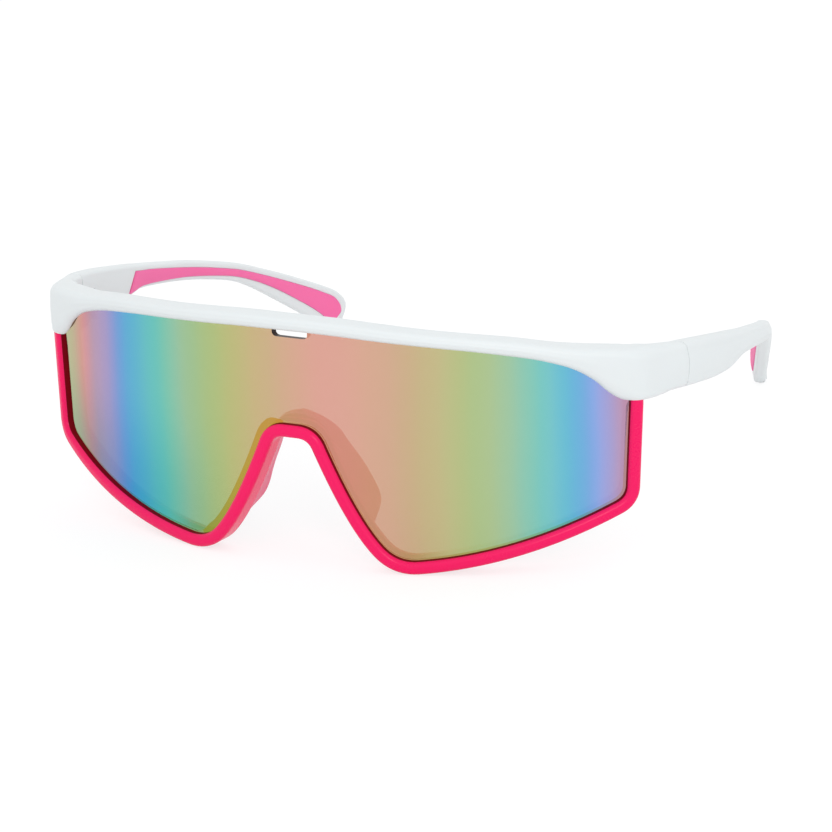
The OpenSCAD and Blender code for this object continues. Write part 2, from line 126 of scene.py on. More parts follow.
def bulged(p: Point, q: Point, crown: float, count: int) -> list[Point]:
    """Inner points of the line from p to q, bowed along the first axis by crown."""
    inner = enumerate(between(p, q, count), 1)
    return [(x + 4 * k * (count - k) / count ** 2 * crown, y) for k, (x, y) in inner]


def rounded_end(ring: np.ndarray, ahead: np.ndarray, radius: float, steps: int = 4) -> list[np.ndarray]:
    """Rings that round off the last ring of a bar.

    Args:
        ring: the bar's last ring, (points, 3).
        ahead: unit direction in which the bar ends.
        radius: radius of the rounding.
        steps: rings to add.

    Returns:
        The added rings, each drawn in and moved ahead along a quarter circle.
    """
    middle = ring.mean(0)
    spokes = ring - middle
    length = np.linalg.norm(spokes, axis=1, keepdims=True)
    rings = []
    for g in np.linspace(0, math.pi / 2, steps + 1)[1:]:
        drawn = np.maximum(length - radius * (1 - math.cos(g)), 0.15 * length)
        rings.append(middle + spokes / length * drawn + ahead * radius * math.sin(g))
    return rings


def loft(name: str, rings: Sequence[np.ndarray], sharp_deg: float = 38.0) -> Thing:
    """Makes a closed, smooth-shaded mesh through rings given in the frame, in metres.

    Args:
        name: object name.
        rings: arrays of (points, 3), all listed the same way round.
        sharp_deg: edges that turn by more than this stay sharp.

    Returns:
        The new object, linked to the scene.
    """
    grid = np.asarray(rings, float)
    count, around = grid.shape[:2]
    index = np.arange(count * around).reshape(count, around)
    nxt = np.roll(index, -1, axis=1)
    quads = np.stack([index[:-1], index[1:], nxt[1:], nxt[:-1]], -1).reshape(-1, 4)
    faces = quads.tolist() + [index[0].tolist(), index[-1][::-1].tolist()]
    mesh = bpy.data.meshes.new(name)
    mesh.from_pydata(grid.reshape(-1, 3).tolist(), [], faces)
    mesh.validate()
    mesh.update()
    thing = bpy.data.objects.new(name, mesh)
    bpy.context.scene.collection.objects.link(thing)
    outward(mesh)
    mesh.shade_smooth()
    mesh.set_sharp_from_angle(angle=math.radians(sharp_deg))
    return thing


def outward(mesh: bpy.types.Mesh) -> None:
    """Turns a closed mesh's faces outward if its volume reads negative."""
    co = np.array([v.co for v in mesh.vertices], float)
    volume = 0.0
    for p in mesh.polygons:
        ids = p.vertices
        for k in range(1, len(ids) - 1):
            volume += float(np.dot(co[ids[0]], np.cross(co[ids[k]], co[ids[k + 1]])))
    if volume < 0:
        mesh.flip_normals()


@dataclass
class FrontShape:
    """Sizes that every piece shares, in millimetres, and the places on the front."""

    lens_r: float = 100.0
    lens_t: float = 2.0
    lens_bite: float = 1.1
    rim_arc: float = 73.2
    rim_drop: float = 49.2
    rim_w: float = 3.1
    rim_front: float = 1.9
    rim_back: float = 3.3
    brow_h: float = 2.9
    brow_gap: float = 1.8
    brow_dip: float = 16.5
    brow_front: float = 2.0
    end_front: float = 3.0
    brow_back: float = 3.2
    end_t: float = 4.3
    bend_r: float = 7.0
    end_len: float = 13.9
    brow_lip: float = 0.5
    seam_gap: float = 0.2
    temple_len: float = 101.2
    slide_gap: float = 0.08
    seat_gap: float = 0.05
    side_corner_share: Point = (0.983, 0.746)
    low_pull_share: Point = (0.64, 0.955)
    low_corner_share: Point = (0.297, 1.006)
    nose_pull_share: Point = (0.178, 0.81)
    arch_corner_share: Point = (0.066, 0.411)
    rim_top_share: float = 0.31
    rim_open: float = 0.3
    side_r: float = 3.2
    low_r: float = 5.0
    arch_r: float = 3.4
    bend_share: float = 0.97
    bend_turn: float = 75.5
    round_share: float = 0.35
    crown_share: float = 0.1
    slot_share: float = 1.15
    pad_slot_half: float = 0.2
    pad_slot_deep: float = 0.25
    wing_stop: int = 12
    line: np.ndarray = field(init=False)
    normals: np.ndarray = field(init=False)
    nose_last: int = field(init=False)
    floor_v: float = field(init=False)
    seam_y: float = field(init=False)
    mid_y: float = field(init=False)

    def __post_init__(self) -> None:
        """Draws the rim's middle line and finds the origin."""
        half, self.nose_last = self._half_line()
        self.line = np.vstack([np.column_stack([-half[:0:-1, 0], half[:0:-1, 1]]), half])
        run = np.empty_like(self.line)
        run[1:-1] = self.line[2:] - self.line[:-2]
        run[0], run[-1] = self.line[1] - self.line[0], self.line[-1] - self.line[-2]
        run /= np.linalg.norm(run, axis=1, keepdims=True)
        self.normals = np.column_stack([run[:, 1], -run[:, 0]])
        self.floor_v = float((self.line[:, 1] + self.normals[:, 1] * self.rim_w / 2).min())
        crown = self.crown_share * self.round_share * self.brow_h
        self.seam_y = self.lens_r * (1 - math.cos(self.rim_arc / self.lens_r)) + self.end_len
        self.mid_y = (self.seam_y + self.seam_gap + self.temple_len - self.brow_front - crown) / 2

    def _half_line(self) -> tuple[np.ndarray, int]:
        """Half of the rim's middle line, from the nose line to the top of an upright.

        Returns:
            The points as (arc, height), and the index at which the nose side ends.
        """
        def at(share: Point) -> np.ndarray:
            return np.array([self.rim_arc * share[0], -self.rim_drop * share[1]])

        def toward(a: np.ndarray, b: np.ndarray, d: float) -> np.ndarray:
            return a + (b - a) / np.linalg.norm(b - a) * d

        side, low_pull, low = at(self.side_corner_share), at(self.low_pull_share), at(self.low_corner_share)
        nose_pull, arch = at(self.nose_pull_share), at(self.arch_corner_share)
        top = np.array([self.rim_arc, -self.rim_drop * self.rim_top_share])
        start = np.array([0.0, arch[1]])
        arch_in, arch_out = arch - [self.arch_r, 0], toward(arch, nose_pull, self.arch_r)
        low_in, low_out = toward(low, nose_pull, self.low_r), toward(low, low_pull, self.low_r)
        side_in, side_out = toward(side, low_pull, self.side_r), toward(side, top, self.side_r)
        nose = [start[None], bow(start, (arch_in + start) / 2, arch_in, 6), bow(arch_in, arch, arch_out, 20),
                bow(arch_out, nose_pull, low_in, 44)]
        rest = [bow(low_in, low, low_out, 26), bow(low_out, low_pull, side_in, 70),
                bow(side_in, side, side_out, 20), bow(side_out, (side_out + top) / 2, top, 20)]
        return np.vstack(nose + rest), sum(len(part) for part in nose) - 1

    @property
    def centre(self) -> int:
        """Index of the nose line in the rim's middle line."""
        return len(self.line) // 2

    @property
    def pad_reach(self) -> int:
        """Points of the middle line from the nose line to the end of a wing of the nose pad."""
        return self.nose_last - self.wing_stop

    def on_front(self, u: np.ndarray, v: np.ndarray, n: np.ndarray) -> np.ndarray:
        """Place at arc u, height v and distance n out of the lens's front, in metres."""
        a = np.asarray(u, float) / self.lens_r
        r = self.lens_r + np.asarray(n, float)
        x, y = r * np.sin(a), self.lens_r - r * np.cos(a)
        return self.place(x, y, np.asarray(v, float) + 0 * x)

    def place(self, x: np.ndarray, y: np.ndarray, v: np.ndarray) -> np.ndarray:
        """Place at x across, y behind the lens's foremost line and height v, in metres."""
        rows = np.broadcast_arrays(x, np.asarray(y) - self.mid_y, np.asarray(v) - self.floor_v)
        return np.stack(rows, -1) * MM

    def on_line(self, i: int, outline: Sequence[Point]) -> np.ndarray:
        """Places of an outline of (across, out) points at point i of the middle line, in metres."""
        p, w, q = self.line[i], self.normals[i], np.array(outline)
        return self.on_front(p[0] + w[0] * q[:, 0], p[1] + w[1] * q[:, 0], q[:, 1])


# Finishes


def full(colour: Sequence[float], share: float = 1.0) -> tuple[float, float, float, float]:
    """A colour times a share, with a full last channel."""
    return (*(share * c for c in colour), 1.0)


class NodeBuilder:
    """Adds nodes to a tree and wires them from left to right."""

    def __init__(self, tree: Tree) -> None:
        """Keeps the tree to fill."""
        self.tree = tree
        self.column = 0

    @classmethod
    def fresh(cls, owner: bpy.types.ID) -> "NodeBuilder":
        """Builder for the emptied tree of a material or a world."""
        owner.use_nodes = True
        owner.node_tree.nodes.clear()
        return cls(owner.node_tree)

    def add(self, kind: str, inputs: Optional[dict] = None, **settings: object) -> Node:
        """Adds a node, sets its attributes and feeds its inputs.

        Args:
            kind: the node's type name.
            inputs: plain values or sockets, by the input's name or number.
            **settings: attributes of the node.

        Returns:
            The new node.
        """
        node = self.tree.nodes.new(kind)
        node.location = (self.column * 190, 0)
        self.column += 1
        for name, value in settings.items():
            setattr(node, name, value)
        for name, value in (inputs or {}).items():
            self.feed(node.inputs[name], value)
        return node

    def feed(self, socket: Socket, value: object) -> None:
        """Links a socket into another, or sets a plain value on it."""
        if isinstance(value, Socket):
            self.tree.links.new(value, socket)
        else:
            socket.default_value = value

    def math(self, operation: str, *values: object) -> Socket:
        """Output of a Math node, from plain values or sockets."""
        return self.add("ShaderNodeMath", dict(enumerate(values)), operation=operation).outputs[0]

    def mix(self, share: object, a: object, b: object, blend: str = "MIX") -> Socket:
        """Adds a colour mix.

        Args:
            share: how much of b, or a socket.
            a: first colour or socket.
            b: second colour or socket.
            blend: the blend type.

        Returns:
            The mixed colour.
        """
        node = self.add("ShaderNodeMix", {0: share, 6: a, 7: b}, data_type="RGBA", blend_type=blend)
        return node.outputs[2]

    def where(self) -> Socket:
        """The object's own coordinates, in metres."""
        return self.add("ShaderNodeTexCoord").outputs["Object"]

    def noise(self, place: Socket, scale: object, detail: float) -> Socket:
        """Soft noise at a place, 0 to 1."""
        return self.add("ShaderNodeTexNoise", {"Vector": place, "Scale": scale, "Detail": detail},
                        noise_dimensions="3D").outputs["Fac"]

    def reach(self, value: Socket, start: float, end: float, ease: Ease = Ease.STRAIGHT) -> Socket:
        """Adds a share that runs from 0 at start to 1 at end, and stays there.

        Args:
            value: the socket to read.
            start: the value that gives 0.
            end: the value that gives 1, above or below start.
            ease: how it runs between them.

        Returns:
            The share.
        """
        low, high = sorted((start, end))
        share = self.add("ShaderNodeMapRange", {"Value": value, "From Min": low, "From Max": high},
                         clamp=True, interpolation_type=ease.value).outputs["Result"]
        return share if end > start else self.math("SUBTRACT", 1.0, share)

    def bump(self, height: Socket, strength: float, depth: float) -> Socket:
        """Normal of a bumpy surface, its depth in metres."""
        bump = self.add("ShaderNodeBump", {"Height": height, "Strength": strength, "Distance": depth})
        return bump.outputs["Normal"]


class SurfaceEffects:
    """Node groups that several finishes share, each built once."""

    def __init__(self) -> None:
        """Builds the groups."""
        self.mould_grain = self._mould_grain()
        self.handling = self._handling()

    @staticmethod
    def _group(name: str, inputs: dict[str, float], outputs: Sequence[str]) \
            -> tuple[Tree, NodeBuilder, Node, Node]:
        """Starts a shader node group with number sockets.

        Args:
            name: the group's name.
            inputs: default values by input name.
            outputs: output names.

        Returns:
            The group, its builder, and its input and output nodes.
        """
        tree = bpy.data.node_groups.new(name, "ShaderNodeTree")
        for label, value in inputs.items():
            socket = tree.interface.new_socket(label, in_out="INPUT", socket_type="NodeSocketFloat")
            socket.default_value = value
        for label in outputs:
            tree.interface.new_socket(label, in_out="OUTPUT", socket_type="NodeSocketFloat")
        nodes = NodeBuilder(tree)
        return tree, nodes, nodes.add("NodeGroupInput"), nodes.add("NodeGroupOutput")

    def _mould_grain(self) -> Tree:
        """Fine grain of a moulded surface, with soft patches of tone and gloss.

        Returns:
            A group with Grain Scale, Patch Scale and Depth in, Tone, Gloss and Height out.
        """
        tree, nodes, start, end = self._group(
            "MouldGrain", {"Grain Scale": 2600.0, "Patch Scale": 60.0, "Depth": 1.0},
            ("Tone", "Gloss", "Height"))
        patch = nodes.noise(nodes.where(), start.outputs["Patch Scale"], 3.0)
        grain = nodes.noise(nodes.where(), start.outputs["Grain Scale"], 2.0)
        gloss = nodes.math("ADD", nodes.math("MULTIPLY", patch, 0.6), nodes.math("MULTIPLY", grain, 0.4))
        nodes.feed(end.inputs["Tone"], nodes.math("MULTIPLY_ADD", patch, 0.5, 0.25))
        nodes.feed(end.inputs["Gloss"], gloss)
        nodes.feed(end.inputs["Height"], nodes.math("MULTIPLY", grain, start.outputs["Depth"]))
        return tree

    def _handling(self) -> Tree:
        """Faint marks of handling: hairline wipes and soft smudges.

        Returns:
            A group with Scale in and Wipes and Smudges out, both 0 to 1.
        """
        tree, nodes, start, end = self._group("Handling", {"Scale": 40.0}, ("Wipes", "Smudges"))
        turned = {"Vector": nodes.where(), "Rotation": (0.3, 0.5, 0.35), "Scale": (1.0, 1.0, 22.0)}
        stretched = nodes.add("ShaderNodeMapping", turned).outputs["Vector"]
        for label, place, detail in (("Wipes", stretched, 5.0), ("Smudges", nodes.where(), 4.0)):
            marks = nodes.noise(place, start.outputs["Scale"], detail)
            nodes.feed(end.inputs[label], nodes.reach(marks, 0.52, 0.72))
        return tree


class Finish:
    """Recipe of one material, whose subclasses say what feeds the shader."""

    name: str

    def build(self, effects: SurfaceEffects) -> Material:
        """Makes the material.

        Args:
            effects: the shared node groups.

        Returns:
            The new material.
        """
        material = bpy.data.materials.new(self.name)
        nodes = NodeBuilder.fresh(material)
        shader = nodes.add("ShaderNodeBsdfPrincipled")
        nodes.add("ShaderNodeOutputMaterial", {"Surface": shader.outputs[0]})
        for name, value in self.feeds(nodes, effects).items():
            nodes.feed(shader.inputs[name], value)
        return material

    def feeds(self, nodes: NodeBuilder, effects: SurfaceEffects) -> dict[str, object]:
        """Values and sockets for the shader, by input name."""
        raise NotImplementedError


@dataclass(frozen=True)
class GrainedFinish(Finish):
    """A finish with a fine grain and soft patches of tone and gloss."""

    name: str
    colour: Colour
    shade: Colour
    roughness: float = 0.35
    roughness_spread: float = 0.08
    tone_share: float = 1.0
    grain_scale: float = 2600.0
    patch_scale: float = 55.0
    grain_depth: float = 0.25
    grain_height: float = 0.00003

    def feeds(self, nodes: NodeBuilder, effects: SurfaceEffects) -> dict[str, object]:
        """Mottled colour, uneven gloss and fine grain.

        Args:
            nodes: the material's builder.
            effects: the shared node groups.

        Returns:
            Values and sockets for the shader, by input name.
        """
        scales = {"Grain Scale": self.grain_scale, "Patch Scale": self.patch_scale}
        grain = nodes.add("ShaderNodeGroup", scales, node_tree=effects.mould_grain)
        tone = nodes.math("MULTIPLY", grain.outputs["Tone"], self.tone_share)
        return {
            "Base Color": nodes.mix(tone, full(self.colour), full(self.shade)),
            "Roughness": nodes.math("MULTIPLY_ADD", grain.outputs["Gloss"], self.roughness_spread,
                                    self.roughness - self.roughness_spread / 2),
            "Normal": nodes.bump(grain.outputs["Height"], self.grain_depth, self.grain_height),
        }


@dataclass(frozen=True)
class MouldedPlastic(GrainedFinish):
    """A rigid injection-moulded plastic, satin or glossy."""

    tone_share: float = 0.5
    smudge_gloss: float = 0.04
    subsurface: float = 0.0
    specular: float = 0.5
    ior: float = 1.5

    def feeds(self, nodes: NodeBuilder, effects: SurfaceEffects) -> dict[str, object]:
        """Grain, and smudges that dull the gloss.

        Args:
            nodes: the material's builder.
            effects: the shared node groups.

        Returns:
            Values and sockets for the shader, by input name.
        """
        grained = super().feeds(nodes, effects)
        smudges = nodes.add("ShaderNodeGroup", node_tree=effects.handling).outputs["Smudges"]
        return grained | {
            "Roughness": nodes.math("MULTIPLY_ADD", smudges, self.smudge_gloss, grained["Roughness"]),
            "IOR": self.ior,
            "Specular IOR Level": self.specular,
            "Subsurface Weight": self.subsurface,
            "Subsurface Radius": (1.0, 0.9, 0.85),
            "Subsurface Scale": 0.0012,
        }


@dataclass(frozen=True)
class SoftRubber(GrainedFinish):
    """A matt elastomer with a fine moulded grain."""

    roughness: float = 0.55
    roughness_spread: float = 0.12
    grain_scale: float = 3400.0
    patch_scale: float = 90.0
    grain_depth: float = 0.5
    grain_height: float = 0.00004
    subsurface: float = 0.15
    ior: float = 1.45

    def feeds(self, nodes: NodeBuilder, effects: SurfaceEffects) -> dict[str, object]:
        """Grain, and light that travels inside the rubber."""
        return super().feeds(nodes, effects) | {
            "IOR": self.ior,
            "Subsurface Weight": self.subsurface,
            "Subsurface Radius": (1.0, 0.45, 0.5),
            "Subsurface Scale": 0.0015,
        }


@dataclass(frozen=True)
class StampedSteel(GrainedFinish):
    """Bright stamped steel of the hinges."""

    name: str = "hinge_steel_bright"
    colour: Colour = (0.80, 0.81, 0.83)
    shade: Colour = (0.60, 0.6075, 0.6225)
    roughness: float = 0.3
    roughness_spread: float = 0.2
    grain_scale: float = 5200.0
    patch_scale: float = 400.0
    grain_depth: float = 0.3
    grain_height: float = 0.00002

    def feeds(self, nodes: NodeBuilder, effects: SurfaceEffects) -> dict[str, object]:
        """Grain on bare metal."""
        return super().feeds(nodes, effects) | {"Metallic": 1.0}


@dataclass(frozen=True)
class MirrorCoat(Finish):
    """A rainbow mirror on a tinted lens: upright bands of colour, deeper low down on one half.

    The bands are rows of (millimetres across, colour as shown), and the coat's own colour is worked out from
    them: the shown colour less the light that comes through from behind. Over the nose the coat is thinner.
    The reaches are in metres, from where an effect starts to where it is full.
    """

    name: str = "lens_mirror_coat"
    half_width: float = 66.5
    alpha: float = 0.97
    nose_alpha: float = 0.84
    nose_reach: tuple[float, float] = (0.034, 0.024)
    deep_fall: tuple[float, float] = (0.034, 0.008)
    deep_side: tuple[float, float] = (-0.012, -0.045)
    sway: float = 0.003
    sway_scale: float = 28.0
    roughness: float = 0.05
    wipe_scale: float = 30.0
    wipe_gloss: float = 0.02
    tint: Colour = (1.0, 1.0, 1.0)
    behind: float = 0.88
    level: float = 1.03
    smoke: Colour = (0.055, 0.045, 0.045)
    low_tint: Colour = (0.55, 0.86, 0.94)
    bands: tuple[tuple[float, tuple[int, int, int]], ...] = (
        (-66, (175, 180, 130)), (-62, (190, 167, 135)), (-58.5, (208, 145, 142)), (-55, (185, 147, 167)),
        (-52, (174, 150, 185)), (-49, (158, 151, 198)), (-46.5, (128, 155, 209)), (-43.5, (100, 168, 211)),
        (-38, (103, 186, 197)), (-33, (118, 195, 179)), (-28, (154, 195, 162)), (-23, (168, 194, 143)),
        (-17, (184, 191, 132)), (-10, (200, 184, 136)), (-4, (208, 178, 143)), (4, (220, 170, 152)),
        (10, (222, 169, 154)), (16, (218, 172, 151)), (22, (211, 175, 147)), (27, (202, 181, 141)),
        (32, (193, 187, 138)), (37, (178, 193, 138)), (42, (170, 196, 151)), (46, (153, 198, 170)),
        (50, (130, 199, 188)), (53, (120, 195, 203)), (56, (109, 185, 214)), (59, (123, 173, 222)),
        (61, (150, 168, 224)), (63.5, (175, 158, 200)), (66, (195, 150, 170)),
    )

    def _linear(self, shown: tuple[int, int, int]) -> tuple[float, float, float, float]:
        """Turns a colour as the eye reads it, 0 to 255, into light, with a full last channel."""
        return full([((c / 255 + 0.055) / 1.055) ** 2.4 * t for c, t in zip(shown, self.tint)])

    def _coat(self, nodes: NodeBuilder, shown: Socket, alpha: Socket) -> Socket:
        """Colour of the coat that shows as the one given.

        Args:
            nodes: the material's builder.
            shown: the light to show.
            alpha: the coat's cover.

        Returns:
            The shown light less what comes through, over the coat's cover and the studio's level.
        """
        through = nodes.math("MULTIPLY", nodes.math("SUBTRACT", 1.0, alpha), self.behind)
        own = nodes.add("ShaderNodeVectorMath", {0: shown, 1: through}, operation="SUBTRACT")
        share = nodes.math("DIVIDE", 1.0 / self.level, alpha)
        scaled = nodes.add("ShaderNodeVectorMath", {0: own.outputs[0], "Scale": share}, operation="SCALE")
        bounds = {0: scaled.outputs[0], 1: (0.0, 0.0, 0.0)}
        return nodes.add("ShaderNodeVectorMath", bounds, operation="MAXIMUM").outputs[0]

    def _bands(self, nodes: NodeBuilder, across: Socket) -> Socket:
        """Colour bands along a length across the lens.

        Args:
            nodes: the material's builder.
            across: the length, in metres.

        Returns:
            The colour.
        """
        place = nodes.reach(across, -self.half_width * MM, self.half_width * MM)
        ramp = nodes.add("ShaderNodeValToRGB", {0: place})
        stops = ramp.color_ramp.elements
        ramp.color_ramp.interpolation = "CARDINAL"
        while len(stops) > 1:
            stops.remove(stops[-1])
        for k, (at, shown) in enumerate(self.bands):
            share = (at + self.half_width) / (2 * self.half_width)
            stop = stops.new(share) if k else stops[0]
            stop.position = share
            stop.color = self._linear(shown)
        return ramp.outputs["Color"]

    def feeds(self, nodes: NodeBuilder, effects: SurfaceEffects) -> dict[str, object]:
        """Swaying bands, the deeper corner, the thin place over the nose and faint wipes.

        Args:
            nodes: the material's builder.
            effects: the shared node groups.

        Returns:
            Values and sockets for the shader, by input name.
        """
        split = nodes.add("ShaderNodeSeparateXYZ", {0: nodes.where()})
        across, high = split.outputs["X"], split.outputs["Z"]
        drift = nodes.math("SUBTRACT", nodes.noise(nodes.where(), self.sway_scale, 1.0), 0.5)
        bands = self._bands(nodes, nodes.math("ADD", across, nodes.math("MULTIPLY", drift, self.sway)))
        low = nodes.math("MULTIPLY", nodes.reach(high, *self.deep_fall, Ease.SOFT),
                         nodes.reach(across, *self.deep_side, Ease.SOFT))
        deep = nodes.mix(low, bands, full(self.low_tint), "MULTIPLY")
        over_nose = nodes.reach(nodes.math("ABSOLUTE", across), *self.nose_reach, Ease.SOFT)
        alpha = nodes.math("MULTIPLY_ADD", over_nose, self.nose_alpha - self.alpha, self.alpha)
        behind = nodes.add("ShaderNodeNewGeometry").outputs["Backfacing"]
        marks = nodes.add("ShaderNodeGroup", {"Scale": self.wipe_scale}, node_tree=effects.handling)
        return {
            "Base Color": nodes.mix(behind, self._coat(nodes, deep, alpha), full(self.smoke)),
            "Alpha": alpha,
            "Roughness": nodes.math("MULTIPLY_ADD", marks.outputs["Wipes"], self.wipe_gloss, self.roughness),
            "Metallic": 1.0,
        }


@dataclass(frozen=True)
class TintedBody(Finish):
    """The lens's own tint, seen on its rear face and its cut edges."""

    name: str
    colour: Colour
    alpha: float
    roughness: float = 0.08
    wipe_gloss: float = 0.04
    mark_scale: float = 35.0
    smudge_share: float = 0.8
    specular: float = 0.5
    ior: float = 1.58

    def feeds(self, nodes: NodeBuilder, effects: SurfaceEffects) -> dict[str, object]:
        """Smudged tint with faint wipes.

        Args:
            nodes: the material's builder.
            effects: the shared node groups.

        Returns:
            Values and sockets for the shader, by input name.
        """
        marks = nodes.add("ShaderNodeGroup", {"Scale": self.mark_scale}, node_tree=effects.handling)
        return {
            "Base Color": nodes.mix(marks.outputs["Smudges"], full(self.colour),
                                    full(self.colour, self.smudge_share)),
            "Roughness": nodes.math("MULTIPLY_ADD", marks.outputs["Wipes"], self.wipe_gloss, self.roughness),
            "IOR": self.ior,
            "Specular IOR Level": self.specular,
            "Alpha": self.alpha,
        }


@dataclass
class Palette:
    """Every finish of the glasses, built once."""

    effects: SurfaceEffects = field(default_factory=SurfaceEffects)
    white: Material = field(init=False)
    white_painted_shade: Material = field(init=False)
    pink: Material = field(init=False)
    pink_painted_shade: Material = field(init=False)
    pad: Material = field(init=False)
    grip: Material = field(init=False)
    mirror: Material = field(init=False)
    bevel: Material = field(init=False)
    edge_glow: Material = field(init=False)
    tint: Material = field(init=False)
    cut_edge: Material = field(init=False)
    steel: Material = field(init=False)

    def __post_init__(self) -> None:
        """Builds the materials."""
        finishes = {
            "white": MouldedPlastic("frame_white_satin", (0.785, 0.82, 0.825), (0.755, 0.79, 0.80),
                                    roughness=0.42, subsurface=0.1),
            # dark brown painted shade for the bar's underside towards its bends, where the gap lies in shade
            "white_painted_shade": MouldedPlastic("frame_white_painted_shade", (0.24, 0.16, 0.10), (0.20, 0.13, 0.08),
                                         roughness=0.5, grain_depth=0.15, specular=0.08),
            "pink": MouldedPlastic("rim_pink_satin", (0.92, 0.006, 0.125), (0.87, 0.005, 0.11),
                                   roughness=0.26, grain_depth=0.12, specular=0.3, ior=1.4),
            # dark red painted shade for the rim's inner wall by the lens, where the gap lies in shade
            "pink_painted_shade": MouldedPlastic("rim_pink_painted_shade", (0.20, 0.0, 0.006), (0.16, 0.0, 0.004),
                                        roughness=0.5, grain_depth=0.15, specular=0.08),
            "pad": SoftRubber("nose_pad_soft", (0.90, 0.12, 0.26), (0.82, 0.09, 0.21),
                              roughness=0.42, subsurface=0.3),
            "grip": SoftRubber("arm_grip_soft", (1.0, 0.165, 0.42), (0.97, 0.15, 0.39)),
            "mirror": MirrorCoat(),
            "bevel": MirrorCoat("lens_bevel_coat", nose_alpha=0.97, tint=(0.92, 0.84, 0.62)),
            # olive painted reflection of the lens's edge, laid on the lens border where it faces the +x side
            "edge_glow": MirrorCoat("lens_edge_glow", nose_alpha=0.97, tint=(0.88, 0.67, 0.26)),
            "tint": TintedBody("lens_tint", (0.05, 0.045, 0.05), alpha=0.25),
            "cut_edge": TintedBody("lens_cut_edge", (0.03, 0.012, 0.01), alpha=1.0,
                                   roughness=0.35, specular=0.05),
            "steel": StampedSteel(),
        }
        for word, finish in finishes.items():
            setattr(self, word, finish.build(self.effects))


# Pieces


def finish_piece(piece: Thing, body: str, materials: Sequence[Material], replaces: str) -> Thing:
    """Dresses a piece and hands it to the frame.

    Args:
        piece: the new object.
        body: the CAD body that it rides on.
        materials: its finishes, the main one first.
        replaces: the CAD node that it stands for.

    Returns:
        The piece.
    """
    for material in materials:
        piece.data.materials.append(material)
    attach(piece, body)
    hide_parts(replaces)
    LOG.info("%s: %d faces on %s", piece.name, len(piece.data.polygons), body)
    return piece


@dataclass
class LowerRim:
    """The pink rim under the lens, slotted for it, with a tenon on each upright."""

    shape: FrontShape
    round_share: float = 0.34
    lip: float = 0.2
    proud: float = 0.3
    plug: float = 2.0
    edge_r: float = 0.35
    shut: float = 0.02
    # faces of the section's inner wall that take the painted shade
    painted_shade_faces: tuple[int, int] = (5, 12)

    def section(self, pad_slot: float) -> list[Point]:
        """Outline across the rim.

        Args:
            pad_slot: depth of the slot for the nose pad, as a share of its full depth.

        Returns:
            Points as (across from the lens side outwards, out of the lens).
        """
        s = self.shape
        a, f, b = s.rim_w / 2, s.rim_front + self.proud, -s.rim_back
        r, i = self.round_share * s.rim_w, s.rim_open - s.rim_w / 2
        g, deep = s.pad_slot_half * s.rim_w, pad_slot * s.pad_slot_deep * s.rim_w
        slot = s.slot_share * s.lens_bite
        front, back = s.seat_gap, -s.lens_t - s.seat_gap
        lip, edge = self.lip, self.edge_r
        return (
            between((-a, b + edge), (-a, back), 3)
            + [(-a, back), (slot - a, back), (slot - a, front), (i + lip / 2, front)]
            + arc((i + lip, front + lip), lip, 225, 180, 2) + between((i, front + lip), (i, f - r), 4)
            + arc((r + i, f - r), r, 180, 90, 9) + between((r + i, f), (a - r, f), 3)
            + arc((a - r, f - r), r, 90, 0, 9) + between((a, f - r), (a, b + edge), 8)
            + arc((a - edge, b + edge), edge, 0, -90, 4)
            + [(g, b), (g, b + deep), (-g, b + deep), (-g, b)]
            + arc((-a + edge, b + edge), edge, -90, -180, 4)
        )

    def build(self, palette: Palette) -> Thing:
        """Makes the rim.

        Args:
            palette: the finishes.

        Returns:
            The rim's object.
        """
        s = self.shape
        rings = []
        for i in range(len(s.line)):
            inside_nose = abs(i - s.centre) <= s.pad_reach
            rings.append(s.on_line(i, self.section(1.0 if inside_nose else self.shut)))
        lift = np.array([0, 0, self.plug * MM])
        rings = [rings[0] + lift, *rings, rings[-1] + lift]
        rim = loft("lower_rim_smooth", rings)
        rim.visible_glossy = False
        finish_piece(rim, "front", [palette.pink, palette.pink_painted_shade], "lower_rim")
        around = len(rings[0])
        # the inner wall's faces take the painted shade: a dark red that stands for the shade in the gap by
        # the lens
        first, last = self.painted_shade_faces
        for face in rim.data.polygons[:around * (len(rings) - 1)]:
            face.material_index = int(first <= face.index % around <= last)
        return rim


